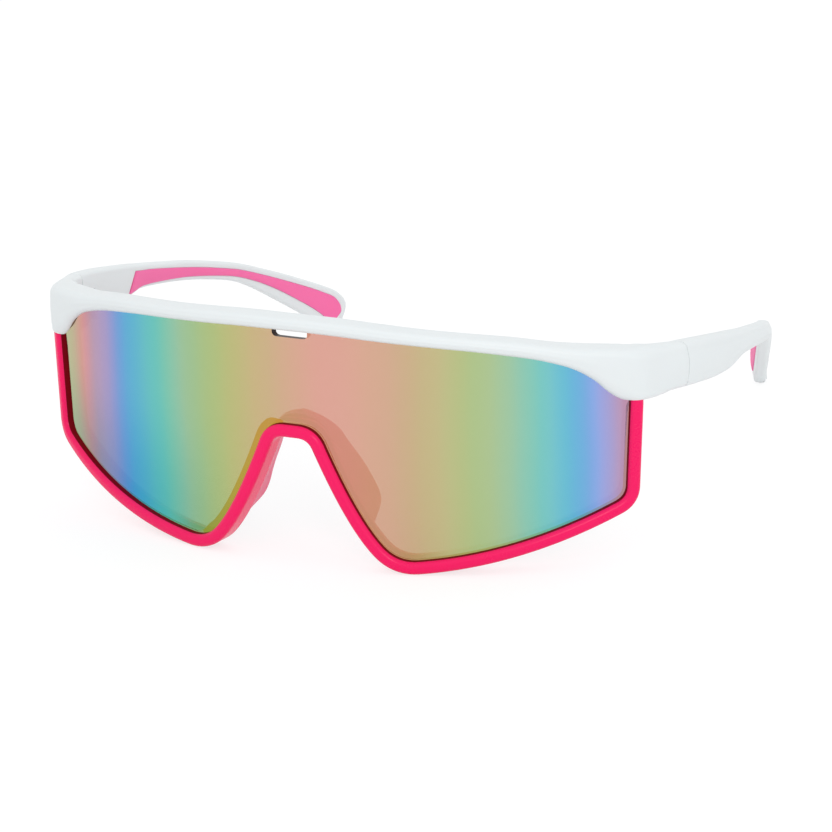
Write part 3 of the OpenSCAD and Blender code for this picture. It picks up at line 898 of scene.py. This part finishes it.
@dataclass
class BrowBar:
    """The white bar over the lens, bent back at both ends to the hinge seams."""

    shape: FrontShape
    low_share: Table = (
        (-0.14, 0.015), (0, 0), (0.14, 0.015), (0.27, 0.06), (0.41, 0.118), (0.545, 0.188), (0.68, 0.292),
        (0.765, 0.388), (0.82, 0.483), (0.875, 0.646), (0.92, 0.84), (0.955, 0.945), (0.985, 0.975),
        (1.02, 1), (1.06, 1.025), (1.12, 1.045), (1.19, 1.095))
    top_share: Table = (
        (-0.14, 0.012), (0, 0), (0.14, 0.012), (0.27, 0.058), (0.41, 0.121), (0.52, 0.171), (0.655, 0.244),
        (0.79, 0.353), (0.94, 0.445), (1.06, 0.53), (1.19, 0.655))
    end_round: float = 0.015
    slide_run: float = 3.0
    undercut: float = 1.05
    shade_from: float = 0.7
    lip_out: float = 1.3
    groove_rings: int = 150
    seam_crown: float = 0.4
    edge_r: float = 0.3
    shut: float = 0.02
    groove_ease: float = 0.05
    wall_least: float = 0.48
    top_rounds: Point = (1.5, 2.3)
    rise_shares: Point = (0.4, 1.3)
    end_lip_share: float = 0.75
    end_edge_share: float = 0.25
    seam_corner: float = 0.4
    foot_steps: int = 3
    front_at: Point = (0.6, 0.35)
    lip_at: Point = (0.7, 0.12)
    cut_at: Point = (0.68, 0.12)
    swell_at: Point = (0.955, 0.045)

    def __post_init__(self) -> None:
        """Works out the bar's plan line."""
        s = self.shape
        self.round = s.round_share * s.brow_h
        self.bend_u = s.bend_share * s.rim_arc
        self.bend_from = self.bend_u / s.lens_r
        self.turn = math.radians(s.bend_turn)
        self.bend_len = s.bend_r * (self.turn - self.bend_from)
        self.bend_to = self.bend_u + self.bend_len
        sin, cos = math.sin(self.bend_from), math.cos(self.bend_from)
        self.bend_centre = s.lens_r * np.array([sin, 1 - cos]) + s.bend_r * np.array([-sin, cos])
        self.bend_end = self.bend_centre + s.bend_r * np.array([math.sin(self.turn), -math.cos(self.turn)])
        self.length = self.bend_to + (s.seam_y - self.bend_end[1]) / math.sin(self.turn)
        self.groove_end = s.rim_arc + s.slot_share * s.lens_bite - s.rim_w / 2 + s.slide_gap
        self.seam_x = self.plan(self.length)[0][0] + s.end_front / math.sin(self.turn)

    def low(self, d: float) -> float:
        """Height of the lower edge at distance d along the bar."""
        s = self.shape
        return float(s.brow_gap - s.brow_dip * smooth(self.low_share, abs(d) / s.rim_arc))

    def top(self, d: float) -> float:
        """Height of the upper edge at distance d along the bar."""
        s = self.shape
        return float(s.brow_gap + s.brow_h - s.brow_dip * smooth(self.top_share, abs(d) / s.rim_arc))

    def plan(self, d: float) -> tuple[np.ndarray, float]:
        """Plan point and heading at distance d along the bar, from the nose line.

        Args:
            d: distance in millimetres.

        Returns:
            The point as (across, back) and the heading in radians.
        """
        s = self.shape
        if d < self.bend_u:
            g = d / s.lens_r
            return s.lens_r * np.array([math.sin(g), 1 - math.cos(g)]), g
        if d < self.bend_to:
            g = self.bend_from + (d - self.bend_u) / s.bend_r
            return self.bend_centre + s.bend_r * np.array([math.sin(g), -math.cos(g)]), g
        run = d - self.bend_to
        return self.bend_end + run * np.array([math.cos(self.turn), math.sin(self.turn)]), self.turn

    def _share(self, d: float, at: Point) -> float:
        """Share of the change that starts at at[0] and runs over at[1], both as shares of the rim's arc."""
        return (d / self.shape.rim_arc - at[0]) / at[1]

    def profile(self, d: float) -> list[Point]:
        """Outline across the bar at distance d.

        Args:
            d: distance along the bar in millimetres.

        Returns:
            Points as (out of the lens, height), from the rear of the lower edge round by the lens groove.
        """
        s, r = self.shape, self.round
        lo, hi = self.low(d), self.top(d)
        swell, past = self._share(d, self.swell_at), d - self.bend_to
        seam = fade(0, 1, past / (self.length - self.bend_to))
        corner = self.seam_corner * s.end_t
        f = fade(s.brow_front, s.end_front, self._share(d, self.front_at))
        b = -fade(s.brow_back, s.end_t * math.sin(self.turn) - s.end_front, past / self.bend_len)
        rt = min(fade(*self.top_rounds, swell) * r, (hi - lo) / 3)
        rt += seam * (corner - rt)
        proud_lip = fade(s.brow_lip, self.lip_out, self._share(d, self.lip_at))
        lip = fade(fade(proud_lip, self.end_lip_share * s.end_front, swell), s.end_front - corner, seam)
        plain_rise, end_rise = self.rise_shares
        rise = fade(fade(plain_rise * (hi - lo), end_rise * r, swell), corner, seam)
        crown = fade(s.crown_share * r, self.seam_crown, seam)
        edge = fade(self.edge_r, self.end_edge_share * s.end_t, seam)
        deep = s.lens_bite + 2 * s.slide_gap if d <= self.groove_end else self.shut
        cut = min(self.undercut * fade(0, 1, self._share(d, self.cut_at)), deep - self.shut / 2)
        back, ease = max(-s.lens_t - s.seat_gap, b + self.wall_least), self.groove_ease
        bent = max(min(d, self.groove_end) - self.bend_u, 0)
        front = s.seat_gap + bent ** 2 / 2 * (1 / s.bend_r - 1 / s.lens_r)
        roll = [(lip + (f - lip) * math.sin(g), lo + rise * (1 - math.cos(g)))
                for g in np.linspace(0, math.pi / 2, 13)]
        return (
            arc((b + edge, lo + edge), edge, 180, 270, self.foot_steps)
            + [(back - ease, lo), (back, lo + deep), (front, lo + deep), (front + ease, lo + cut)]
            + roll + bulged((f, lo + rise), (f, hi - rt), crown, 6)
            + arc((f - rt, hi - rt), rt, 0, 90, 10) + between((f - rt, hi), (b + r, hi), 4)
            + arc((b + r, hi - r), r, 90, 180, 7) + between((b, hi - r), (b, lo + edge), 5)
        )

    def ring(self, d: float) -> np.ndarray:
        """Ring of the bar at distance d, slid near the end so that the last one lies flat in the seam.

        Args:
            d: distance along the bar in millimetres.

        Returns:
            The ring's points, (points, 3), in metres.
        """
        s = self.shape
        p, g = self.plan(d)
        q = np.array(self.profile(d))
        xy = p + q[:, :1] * [math.sin(g), -math.cos(g)]
        slide_from = self.length - self.slide_run
        if d >= slide_from:
            ahead = np.array([math.cos(g), math.sin(g)])
            target = s.seam_y - (self.length - d) * math.sin(g)
            xy = xy + (d - slide_from) / self.slide_run * ((target - xy[:, 1:]) / math.sin(g)) * ahead
        return s.place(xy[:, 0], xy[:, 1], q[:, 1])

    def build(self, palette: Palette) -> Thing:
        """Makes the bar.

        Args:
            palette: the finishes.

        Returns:
            The bar's object.
        """
        s = self.shape
        stops = np.concatenate([
            np.linspace(0, self.groove_end, self.groove_rings),
            np.linspace(self.groove_end + 0.03, self.bend_to, 22),
            np.linspace(self.bend_to, self.length - self.end_round, 12)[1:]])
        right = [self.ring(float(d)) for d in stops]
        right += rounded_end(right[-1], np.array([0.0, 1.0, 0.0]), self.end_round * MM)
        left = [ring * [-1, 1, 1] for ring in right[:0:-1]]
        bar = loft("brow_bar_smooth", left + right)
        bar.visible_glossy = False
        finish_piece(bar, "front", [palette.white, palette.white_painted_shade], "brow_frame")
        around = len(right[0])
        # the face between the groove's front wall and the lip, which takes the painted shade towards the
        # bends: it follows the foot's points and four more
        under = self.foot_steps + 4
        step = self.groove_end / (self.groove_rings - 1) / s.rim_arc
        for face in bar.data.polygons[:around * (len(left + right) - 1)]:
            share = abs(face.index // around + 0.5 - len(left)) * step
            face.material_index = int(face.index % around == under and self.shade_from < share < 1)
        return bar


class LensSkin(Enum):
    """What covers a face of the lens, as its material's place in the list."""

    COAT = 0
    REAR = 1
    CUT = 2
    BEVEL = 3
    # the wide border that carries the painted reflection of the lens's edge
    GLOW = 4


@dataclass
class ShieldLens:
    """The one-piece cylindrical lens with its vent and nose cut-out."""

    shape: FrontShape
    brow: BrowBar
    vent_w: float = 8.2
    vent_r: float = 1.0
    bevel_w: float = 0.28
    bevel_d: float = 0.3
    reflection_band_w: tuple[float, float] = (1.7, 0.55)
    vent_fall: float = 0.35
    rows: int = 26
    nose_points: int = 25
    vent_margins: Point = (0.6, 1.2)
    reflection_turn: float = 0.6
    foot_hidden: float = 0.1
    facing: float = 0.7

    def columns(self) -> tuple[np.ndarray, np.ndarray, np.ndarray]:
        """Lower ends, bevel edges and upper ends of the lens's columns.

        Returns:
            Three arrays of (arc, height), one row for each column.
        """
        s = self.shape
        inset = s.rim_w / 2 - s.lens_bite
        low = (s.line - s.normals * inset)[1:-1]
        # the border with the painted reflection of the lens's edge is wide where the rim's normal points to
        # +x, wider on one half
        wide = np.where(s.line[:, :1] < 0, *self.reflection_band_w)
        band = self.bevel_w + (wide - self.bevel_w) * fade(0, 1, s.normals[:, :1] / self.reflection_turn)
        crease = (s.line - s.normals * (s.rim_w / 2 - s.rim_open + band))[1:-1]
        half = low[-1, 0]
        side = s.rim_arc - inset
        edge = self.vent_w / 2
        cuts = [-edge - 0.002, -edge, *(-edge + self.vent_r * np.array([0.05, 0.15, 0.35, 0.65, 1.0]))]
        cuts += [-c for c in cuts[::-1]]
        close, wide_of = self.vent_margins
        flat = np.abs(low[:, 0]) > edge + wide_of
        near = slice(s.centre - self.nose_points, s.centre + self.nose_points - 1)
        spots = np.interp(sorted([*cuts, *np.linspace(-3, 3, 9), -edge - close, edge + close]), low[near, 0],
                          np.arange(len(low))[near])
        middle = len(low) // 2
        low, crease = (
            np.vstack([edge_line[:middle][flat[:middle]],
                       np.column_stack([np.interp(spots, np.arange(len(flat)), c) for c in edge_line.T]),
                       edge_line[middle:][flat[middle:]]])
            for edge_line in (low, crease))
        top = []
        for q in low:
            u = q[0] * side / half
            v = self.brow.low(u) + s.lens_bite
            if abs(q[0]) <= edge:
                u = q[0]
                in_corner = max(abs(q[0]) - (edge - self.vent_r), 0)
                v = self.vent_r - math.sqrt(max(self.vent_r ** 2 - in_corner ** 2, 0))
            top.append((u, v))
        return low, crease, np.array(top)

    def build(self, palette: Palette) -> Thing:
        """Makes the lens with its coated front, tinted rear and cut edges.

        Args:
            palette: the finishes.

        Returns:
            The lens's object.
        """
        s = self.shape
        low, crease, top = self.columns()
        t = np.linspace(0, 1, self.rows)[:, None]
        rings, bands = [], []
        for a, c, b in zip(low, crease, top):
            run = float(np.linalg.norm(c - a))
            band = run - s.lens_bite + s.rim_open
            bands.append(band)
            foot = c + (a - c) * (band + self.foot_hidden) / run
            dip = self.bevel_d * self.bevel_w / band
            front = s.on_front(*(c + (b - c) * t).T, 0)
            fall = self.vent_fall if abs(b[0]) <= self.vent_w / 2 and b[1] < self.vent_r else 0
            rear = s.on_front(*(a + (b - [0, fall] - a) * t[::-1]).T, -s.lens_t)
            rings.append(np.vstack([s.on_front(*a, -dip), s.on_front(*foot, -dip), front, rear]))
        lens = loft("shield_lens_smooth", rings, sharp_deg=22)
        skins = [palette.mirror, palette.tint, palette.cut_edge, palette.bevel, palette.edge_glow]
        finish_piece(lens, "front", skins, "shield_lens")
        around = len(rings[0])
        middle = np.array([0.0, s.lens_r - s.mid_y]) * MM
        for face in lens.data.polygons:
            c = face.center
            along = face.normal.dot(Vector((c.x - middle[0], c.y - middle[1], 0)).normalized())
            skin = LensSkin.CUT
            if face.index < around * (len(rings) - 1) and face.index % around < 2:
                wide = bands[face.index // around] > 2 * self.bevel_w
                skin = LensSkin.GLOW if wide else LensSkin.BEVEL
            elif abs(along) > self.facing:
                skin = LensSkin.COAT if along > 0 else LensSkin.REAR
            face.material_index = skin.value
        return lens


@dataclass
class NosePad:
    """The soft saddle over the arch with a splayed wing down each side of the nose."""

    shape: FrontShape
    wing_depth: float = 8.6
    wing_t: float = 1.9
    wing_splay: float = 2.4
    saddle_rise: float = 0.8
    depth_share: Table = ((-0.2, 0.4), (0, 0.38), (0.2, 0.36), (0.4, 0.55), (0.6, 0.86), (0.78, 1),
                          (0.88, 1.03), (0.94, 0.9), (0.98, 0.5), (1, 0.16))
    splay_share: Table = ((-0.2, 0.75), (0, 0.75), (0.3, 0.55), (0.5, 0.7), (0.7, 1), (0.9, 0.8), (1, 0.3))
    saddle_share: Table = ((-0.1, 0.85), (0, 1), (0.1, 0.85), (0.2, 0.4), (0.3, 0.12), (0.45, 0.05),
                           (1, 0.04))

    def section(self, t: float) -> list[Point]:
        """Outline across the pad.

        Args:
            t: place along the pad, 0 at the nose line and 1 at a wing's end.

        Returns:
            Points as (across, out of the lens).
        """
        s = self.shape
        seat = -s.rim_back - s.seat_gap
        saddle = self.saddle_rise * smooth(self.saddle_share, t)
        rear = seat - self.wing_depth * smooth(self.depth_share, t)
        near = s.rim_w / 2 - self.wing_splay * smooth(self.splay_share, t)
        far = near - self.wing_t - 0.4 * saddle
        foot_near, foot_far = 0.4 * s.rim_w, -0.45 * s.rim_w - saddle
        r = 0.45 * self.wing_t
        g, up = s.pad_slot_half * s.rim_w - s.seat_gap, s.pad_slot_deep * s.rim_w - s.seat_gap
        return (
            [(foot_far, seat), (-g, seat), (-g, seat + up), (g, seat + up), (g, seat), (foot_near, seat)]
            + between((foot_near, seat), (near, rear + r), 10) + arc((near - r, rear + r), r, 0, -90, 7)
            + arc((far + r, rear + r), r, -90, -180, 7) + between((far, rear + r), (foot_far, seat), 10))

    def build(self, palette: Palette) -> Thing:
        """Makes the pad.

        Args:
            palette: the finishes.

        Returns:
            The pad's object.
        """
        s = self.shape
        reach = s.pad_reach
        rings = [s.on_line(s.centre + i, self.section(abs(i) / reach)) for i in range(-reach, reach + 1)]
        pad = loft("nose_pad_smooth", rings, sharp_deg=50)
        return finish_piece(pad, "front", [palette.pad], "nose_pad")


@dataclass
class Arm:
    """One arm with the rubber grip let into its inner face."""

    shape: FrontShape
    brow: BrowBar
    side: Side
    tip_t: float = 3.0
    crown: float = 0.4
    grip_t: float = 1.1
    grip_proud: float = 0.25
    grip_border: float = 1.5
    grip_from: float = 3.4
    per_row: int = 10
    seam_shown: float = 0.025
    tail_out: float = 1.1
    head_round: float = 0.015
    tail_round: float = 0.35
    level: float = -0.03
    first_row: float = 0.02
    rows_cut: float = 0.22
    wall_lean: float = 0.11
    wall_run: float = 0.015
    grip_r: float = 0.22
    grip_rise: float = 0.12
    grip_round: float = 0.2
    grip_rings: int = 120
    edge_share: Sequence[tuple[float, float, float, float]] = (
        (0, 0, 0, 0.229), (0.1, 0.051, 0.08, 0.261), (0.18, 0.096, 0.15, 0.29), (0.271, 0.149, 0.217, 0.309),
        (0.32, 0.179, 0.268, 0.308), (0.37, 0.209, 0.315, 0.307), (0.448, 0.256, 0.405, 0.344),
        (0.54, 0.313, 0.51, 0.398), (0.622, 0.371, 0.595, 0.451), (0.7, 0.434, 0.665, 0.505),
        (0.77, 0.507, 0.725, 0.579), (0.835, 0.578, 0.785, 0.672), (0.9, 0.655, 0.84, 0.762),
        (0.95, 0.717, 0.885, 0.838), (0.985, 0.771, 0.917, 0.896), (1, 0.839, 0.94, 0.948),
        (0.994, 0.918, 0.953, 0.986), (0.98, 0.971, 0.966, 1))
    bow_share: Table = (
        (0, 0), (0.04, 0.0065), (0.1, 0.0122), (0.17, 0.0135), (0.27, 0.0122), (0.34, 0.008), (0.45, -0.005),
        (0.53, -0.018), (0.6, -0.037), (0.695, -0.07), (0.793, -0.106), (0.892, -0.146), (0.942, -0.168),
        (1, -0.197))
    top_border_share: Table = ((0, 1), (12, 1), (14, 1), (15, 1), (17, 1.3))
    low_border_share: Table = ((0, 1), (7, 1), (9, 1.4), (11, 2.3), (13, 2.4), (15, 2), (17, 1.3))

    def __post_init__(self) -> None:
        """Splits the edge table into columns and finds the arm's start."""
        s = self.shape
        self.rows = len(self.edge_share) - 1
        self.cols = [[(k, row[c]) for k, row in enumerate(self.edge_share)] for c in range(4)]
        stops = np.linspace(0, self.rows, 3 * self.rows + 1)
        self.reach = float(smooth(self.cols[0], stops).max())
        self.top = self.brow.top(self.brow.length)
        self.fall = self.top - s.floor_v
        self.start = s.seam_y + self.seam_shown
        self.grip_to = self.rows - 1.7

    def _place(self, y: np.ndarray, v: np.ndarray, d: np.ndarray) -> np.ndarray:
        """Place y behind the arm's start, v over its upper start and d inside its outer face, in metres."""
        s = self.shape
        w = y / s.temple_len
        m = (smooth(self.bow_share, w + 0.01) - smooth(self.bow_share, w - 0.01)) / 0.02
        m = m * np.minimum(y / (0.06 * s.temple_len), 1)
        length = np.sqrt(1 + m * m)
        x = self.brow.seam_x + s.temple_len * smooth(self.bow_share, w) - d / length
        if self.side is Side.RIGHT:
            x = x + fade(0, self.tail_out, (w - 0.6) / 0.4)
        places = s.place(x, self.start + y + d * m / length, self.top + v)
        places[:, 0] *= self.side.value
        places[:, 2] = np.maximum(places[:, 2], 0)
        return places

    def _row(self, k: float) -> tuple[np.ndarray, np.ndarray, float, float]:
        """Upper edge point, downward direction, height and thickness of row k, in millimetres."""
        s = self.shape
        q = [float(smooth(c, k)) for c in self.cols]
        upper = np.array([q[0] / self.reach * s.temple_len, -q[1] * self.fall])
        lower = np.array([q[2] / self.reach * s.temple_len, -q[3] * self.fall])
        h = float(np.linalg.norm(lower - upper))
        t = float(fade(s.end_t, self.tip_t, k / self.rows * 1.6))
        t *= 1 - 0.45 * max(k - self.rows + 1.5, 0) ** 2 / 1.5 ** 2
        return upper, (lower - upper) / h, h, t

    def _borders(self, k: float, h: float) -> tuple[float, float]:
        """Distances of the grip's two edges from the arm's upper edge at row k."""
        high = min(self.grip_border * float(smooth(self.top_border_share, k)), 0.3 * h)
        low = min(0.65 * self.grip_border * float(smooth(self.low_border_share, k)), 0.35 * h)
        return high, h - low

    def _across(self, k: float, outline: Sequence[Point]) -> np.ndarray:
        """Places of an outline of (inward, down) points at row k, in metres."""
        upper, down, _, _ = self._row(k)
        q = np.array(outline)
        p = upper + q[:, 1:] * down
        return self._place(p[:, 0], p[:, 1], q[:, 0])

    def ring(self, k: float, sink: float) -> np.ndarray:
        """Outline of the arm at row k.

        Args:
            k: row number, with shares between rows.
            sink: depth of the recess for the grip.

        Returns:
            The ring's points, (points, 3), in metres.
        """
        _, _, h, t = self._row(k)
        ro, ri, lean = min(0.4 * t, 0.4 * h), 0.25 * t, self.wall_lean
        high, low = self._borders(k, h)
        return self._across(k, (
            arc((ro, h - ro), ro, 90, 180, 8) + bulged((0, h - ro), (0, ro), -self.crown, 10)
            + arc((ro, ro), ro, 180, 270, 8) + between((ro, 0), (t - ri, 0), 3)
            + arc((t - ri, ri), ri, 270, 360, 5)
            + [(t, high), (t - sink, high + lean), (t - sink, low - lean), (t, low)]
            + arc((t - ri, h - ri), ri, 0, 90, 5) + between((t - ri, h), (ro, h), 3)))

    def grip_ring(self, k: float, inset: float) -> np.ndarray:
        """Outline of the grip at row k, drawn in by inset at its two ends."""
        _, _, h, t = self._row(k)
        high, low = self._borders(k, h)
        gap, r = self.shape.seat_gap, self.grip_r
        base, proud = t - self.grip_t + self.grip_proud + gap, t + self.grip_proud - 0.6 * inset
        high, low = high + gap + inset, low - gap - inset
        return self._across(k, (
            [(base, high + self.wall_lean), (proud - r, high)]
            + arc((proud - r, high + r), r, 270, 360, 4)[1:]
            + bulged((proud, high + r), (proud, low - r), self.grip_rise, 8)
            + arc((proud - r, low - r), r, 0, 90, 4) + [(base, low - self.wall_lean)]))

    def arm_rings(self) -> list[np.ndarray]:
        """Rings of the arm, from its rounded head past the grip's recess to its rounded tail."""
        level, sink, step = self.level, self.grip_t - self.grip_proud, self.wall_run
        stops = np.linspace(0, self.rows - self.rows_cut, self.per_row * self.rows)
        inside = (stops > self.grip_from) & (stops < self.grip_to)
        start = self.ring(self.first_row, level)
        head = rounded_end(start, np.array([0.0, -1.0, 0.0]), self.head_round * MM)[::-1]
        front = [self.ring(float(k), level) for k in stops[stops < self.grip_from - 0.02][1:]]
        middle = [self.ring(self.grip_from - step, level), self.ring(self.grip_from, sink)]
        middle += [self.ring(float(k), sink) for k in stops[inside]]
        middle += [self.ring(self.grip_to, sink), self.ring(self.grip_to + step, level)]
        tail = [self.ring(float(k), level) for k in stops[stops > self.grip_to + 0.03]]
        ahead = tail[-1].mean(0) - tail[-3].mean(0)
        end = rounded_end(tail[-1], ahead / np.linalg.norm(ahead), self.tail_round * MM, 5)
        for ring in end:
            ring[:, 2] = np.maximum(ring[:, 2], 0)
        return head + [start] + front + middle + tail + end

    def all_grip_rings(self) -> list[np.ndarray]:
        """Rings of the grip, drawn in round both ends."""
        run = np.linspace(self.grip_from + 0.03, self.grip_to - 0.03, self.grip_rings)
        share = np.minimum(np.minimum(run - run[0], run[-1] - run) / 0.05, 1)
        insets = self.grip_round * (1 - np.sqrt(np.maximum(1 - (1 - share) ** 2, 0)))
        return [self.grip_ring(float(k), float(inset)) for k, inset in zip(run, insets)]

    def build(self, palette: Palette) -> list[Thing]:
        """Makes the arm and its grip.

        Args:
            palette: the finishes.

        Returns:
            The two objects.
        """
        word = self.side.name.lower()
        arm = loft(f"arm_{word}_smooth", self.arm_rings())
        finish_piece(arm, f"arm_{word}", [palette.white], f"temple_{word}")
        grip = loft(f"grip_{word}_smooth", self.all_grip_rings())
        finish_piece(grip, f"arm_{word}", [palette.grip], f"temple_grip_{word}")
        return [arm, grip]


@dataclass
class Hinges:
    """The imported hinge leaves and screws, which keep their own shape."""

    nodes: Sequence[str] = ("hinge_front_leaf", "hinge_temple_leaf", "hinge_screw")
    sharp_deg: float = 35.0

    def dress(self, palette: Palette) -> None:
        """Gives every hinge piece its steel.

        Args:
            palette: the finishes.
        """
        for side in Side:
            for node in self.nodes:
                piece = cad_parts[f"{node}_{side.name.lower()}"]
                piece.data.materials.clear()
                piece.data.materials.append(palette.steel)
                piece.data.shade_smooth()
                piece.data.set_sharp_from_angle(angle=math.radians(self.sharp_deg))
                LOG.info("%s: packed shape kept", piece.name)


# Studio


@dataclass
class Studio:
    """Floor, plain sky, lamps and the camera of the photograph."""

    shape: FrontShape
    focal_px: float = 5000.0
    distance: float = 1042.037
    azimuth: float = 24.263
    elevation: float = 20.18
    roll: float = -2.002
    aside: float = 26.41
    above: float = -16.307
    image_px: int = 832
    sensor: float = 36.0
    floor_size: float = 6.0
    floor_bounce: float = 0.88
    floor_held: float = 0.3
    floor_glow: float = 0.74
    sky: Colour = (0.98, 0.99, 1.0)
    sky_level: float = 0.97

    def camera(self) -> Thing:
        """Makes the camera at the photograph's angle.

        Returns:
            The camera's object.
        """
        a, e, r = (math.radians(v) for v in (self.azimuth, self.elevation, self.roll))
        back = np.array([math.sin(a) * math.cos(e), -math.cos(a) * math.cos(e), math.sin(e)])
        right = np.cross(-back, [0, 0, 1.0])
        right /= np.linalg.norm(right)
        up = np.cross(right, -back)
        right, up = math.cos(r) * right + math.sin(r) * up, -math.sin(r) * right + math.cos(r) * up
        eye = back * self.distance + right * self.aside + up * self.above
        eye = (eye - [0, self.shape.mid_y, self.shape.floor_v]) * MM
        data = bpy.data.cameras.new("photo_camera")
        data.sensor_width = self.sensor
        data.lens = self.focal_px / self.image_px * self.sensor
        camera = bpy.data.objects.new("photo_camera", data)
        bpy.context.scene.collection.objects.link(camera)
        turn = Matrix([right, up, back]).transposed().to_4x4()
        camera.matrix_world = Matrix.Translation(Vector(eye)) @ turn
        bpy.context.scene.camera = camera
        return camera

    @staticmethod
    def _lamp(name: str, power: float, size: float, at: tuple[float, float, float],
              aim: tuple[float, float, float] = (0, -0.02, 0.03)) -> None:
        """Adds a soft square lamp aimed at the glasses."""
        data = bpy.data.lights.new(name, "AREA")
        data.energy, data.size = power, size
        lamp = bpy.data.objects.new(name, data)
        lamp.location = at
        lamp.rotation_euler = (Vector(aim) - Vector(at)).to_track_quat("-Z", "Y").to_euler()
        bpy.context.scene.collection.objects.link(lamp)

    @staticmethod
    def _finish(nodes: NodeBuilder, lighting: Node, shown: Node, output: str) -> None:
        """Ends a tree that lights the object with one shader and looks like another.

        Args:
            nodes: the tree's builder.
            lighting: the shader for all rays but those of the eye, of mirrors and through glass.
            shown: the shader for those rays.
            output: type name of the output node.
        """
        path = nodes.add("ShaderNodeLightPath").outputs
        seen = nodes.math("MAXIMUM", path["Is Camera Ray"], path["Is Glossy Ray"])
        share = nodes.math("MAXIMUM", seen, path["Is Transmission Ray"])
        mixed = nodes.add("ShaderNodeMixShader", {0: share, 1: lighting.outputs[0], 2: shown.outputs[0]})
        nodes.add(output, {"Surface": mixed.outputs[0]})

    def _floor(self) -> None:
        """Adds the pale floor, which keeps the shadow."""
        half = self.floor_size / 2
        mesh = bpy.data.meshes.new("studio_floor")
        corners = [(-half, -half, 0), (half, -half, 0), (half, half, 0), (-half, half, 0)]
        mesh.from_pydata(corners, [], [(0, 1, 2, 3)])
        floor = bpy.data.objects.new("studio_floor", mesh)
        bpy.context.scene.collection.objects.link(floor)
        material = bpy.data.materials.new("studio_floor_pale")
        nodes = NodeBuilder.fresh(material)
        plain = nodes.add("ShaderNodeBsdfDiffuse", {"Color": full((1, 1, 1), self.floor_bounce)})
        held = nodes.add("ShaderNodeBsdfDiffuse", {"Color": full((1, 1, 1), self.floor_held)})
        glow = nodes.add("ShaderNodeEmission", {"Strength": self.floor_glow})
        both = nodes.add("ShaderNodeAddShader", {0: held.outputs[0], 1: glow.outputs[0]})
        self._finish(nodes, plain, both, "ShaderNodeOutputMaterial")
        mesh.materials.append(material)

    def _world(self) -> None:
        """Sets the plain sky: white to the eye, soft to the object."""
        world = bpy.data.worlds.new("studio_world")
        bpy.context.scene.world = world
        nodes = NodeBuilder.fresh(world)
        soft = nodes.add("ShaderNodeBackground", {"Color": full(self.sky), "Strength": self.sky_level})
        white = nodes.add("ShaderNodeBackground", {"Color": full((1, 1, 1)), "Strength": 1.0})
        self._finish(nodes, soft, white, "ShaderNodeOutputWorld")

    def build(self) -> None:
        """Sets up the whole studio."""
        scene = bpy.context.scene
        scene.view_settings.view_transform = "Standard"
        self._world()
        self._floor()
        self._lamp("key_overhead", 0.5, 1.2, (-0.35, -0.75, 1.25))
        self._lamp("fill_side", 2.6, 0.35, (0.7, -1.05, 0.6))
        self.camera()


def main() -> None:
    """Builds the glasses and the studio, and reports each piece."""
    logging.basicConfig(level=logging.INFO, format="%(name)s %(message)s")
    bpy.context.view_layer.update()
    shape = FrontShape()
    palette = Palette()
    brow = BrowBar(shape)
    brow.build(palette)
    LowerRim(shape).build(palette)
    ShieldLens(shape, brow).build(palette)
    NosePad(shape).build(palette)
    for side in Side:
        Arm(shape, brow, side).build(palette)
    Hinges().dress(palette)
    Studio(shape).build()


if __name__ == "__main__":
    main()
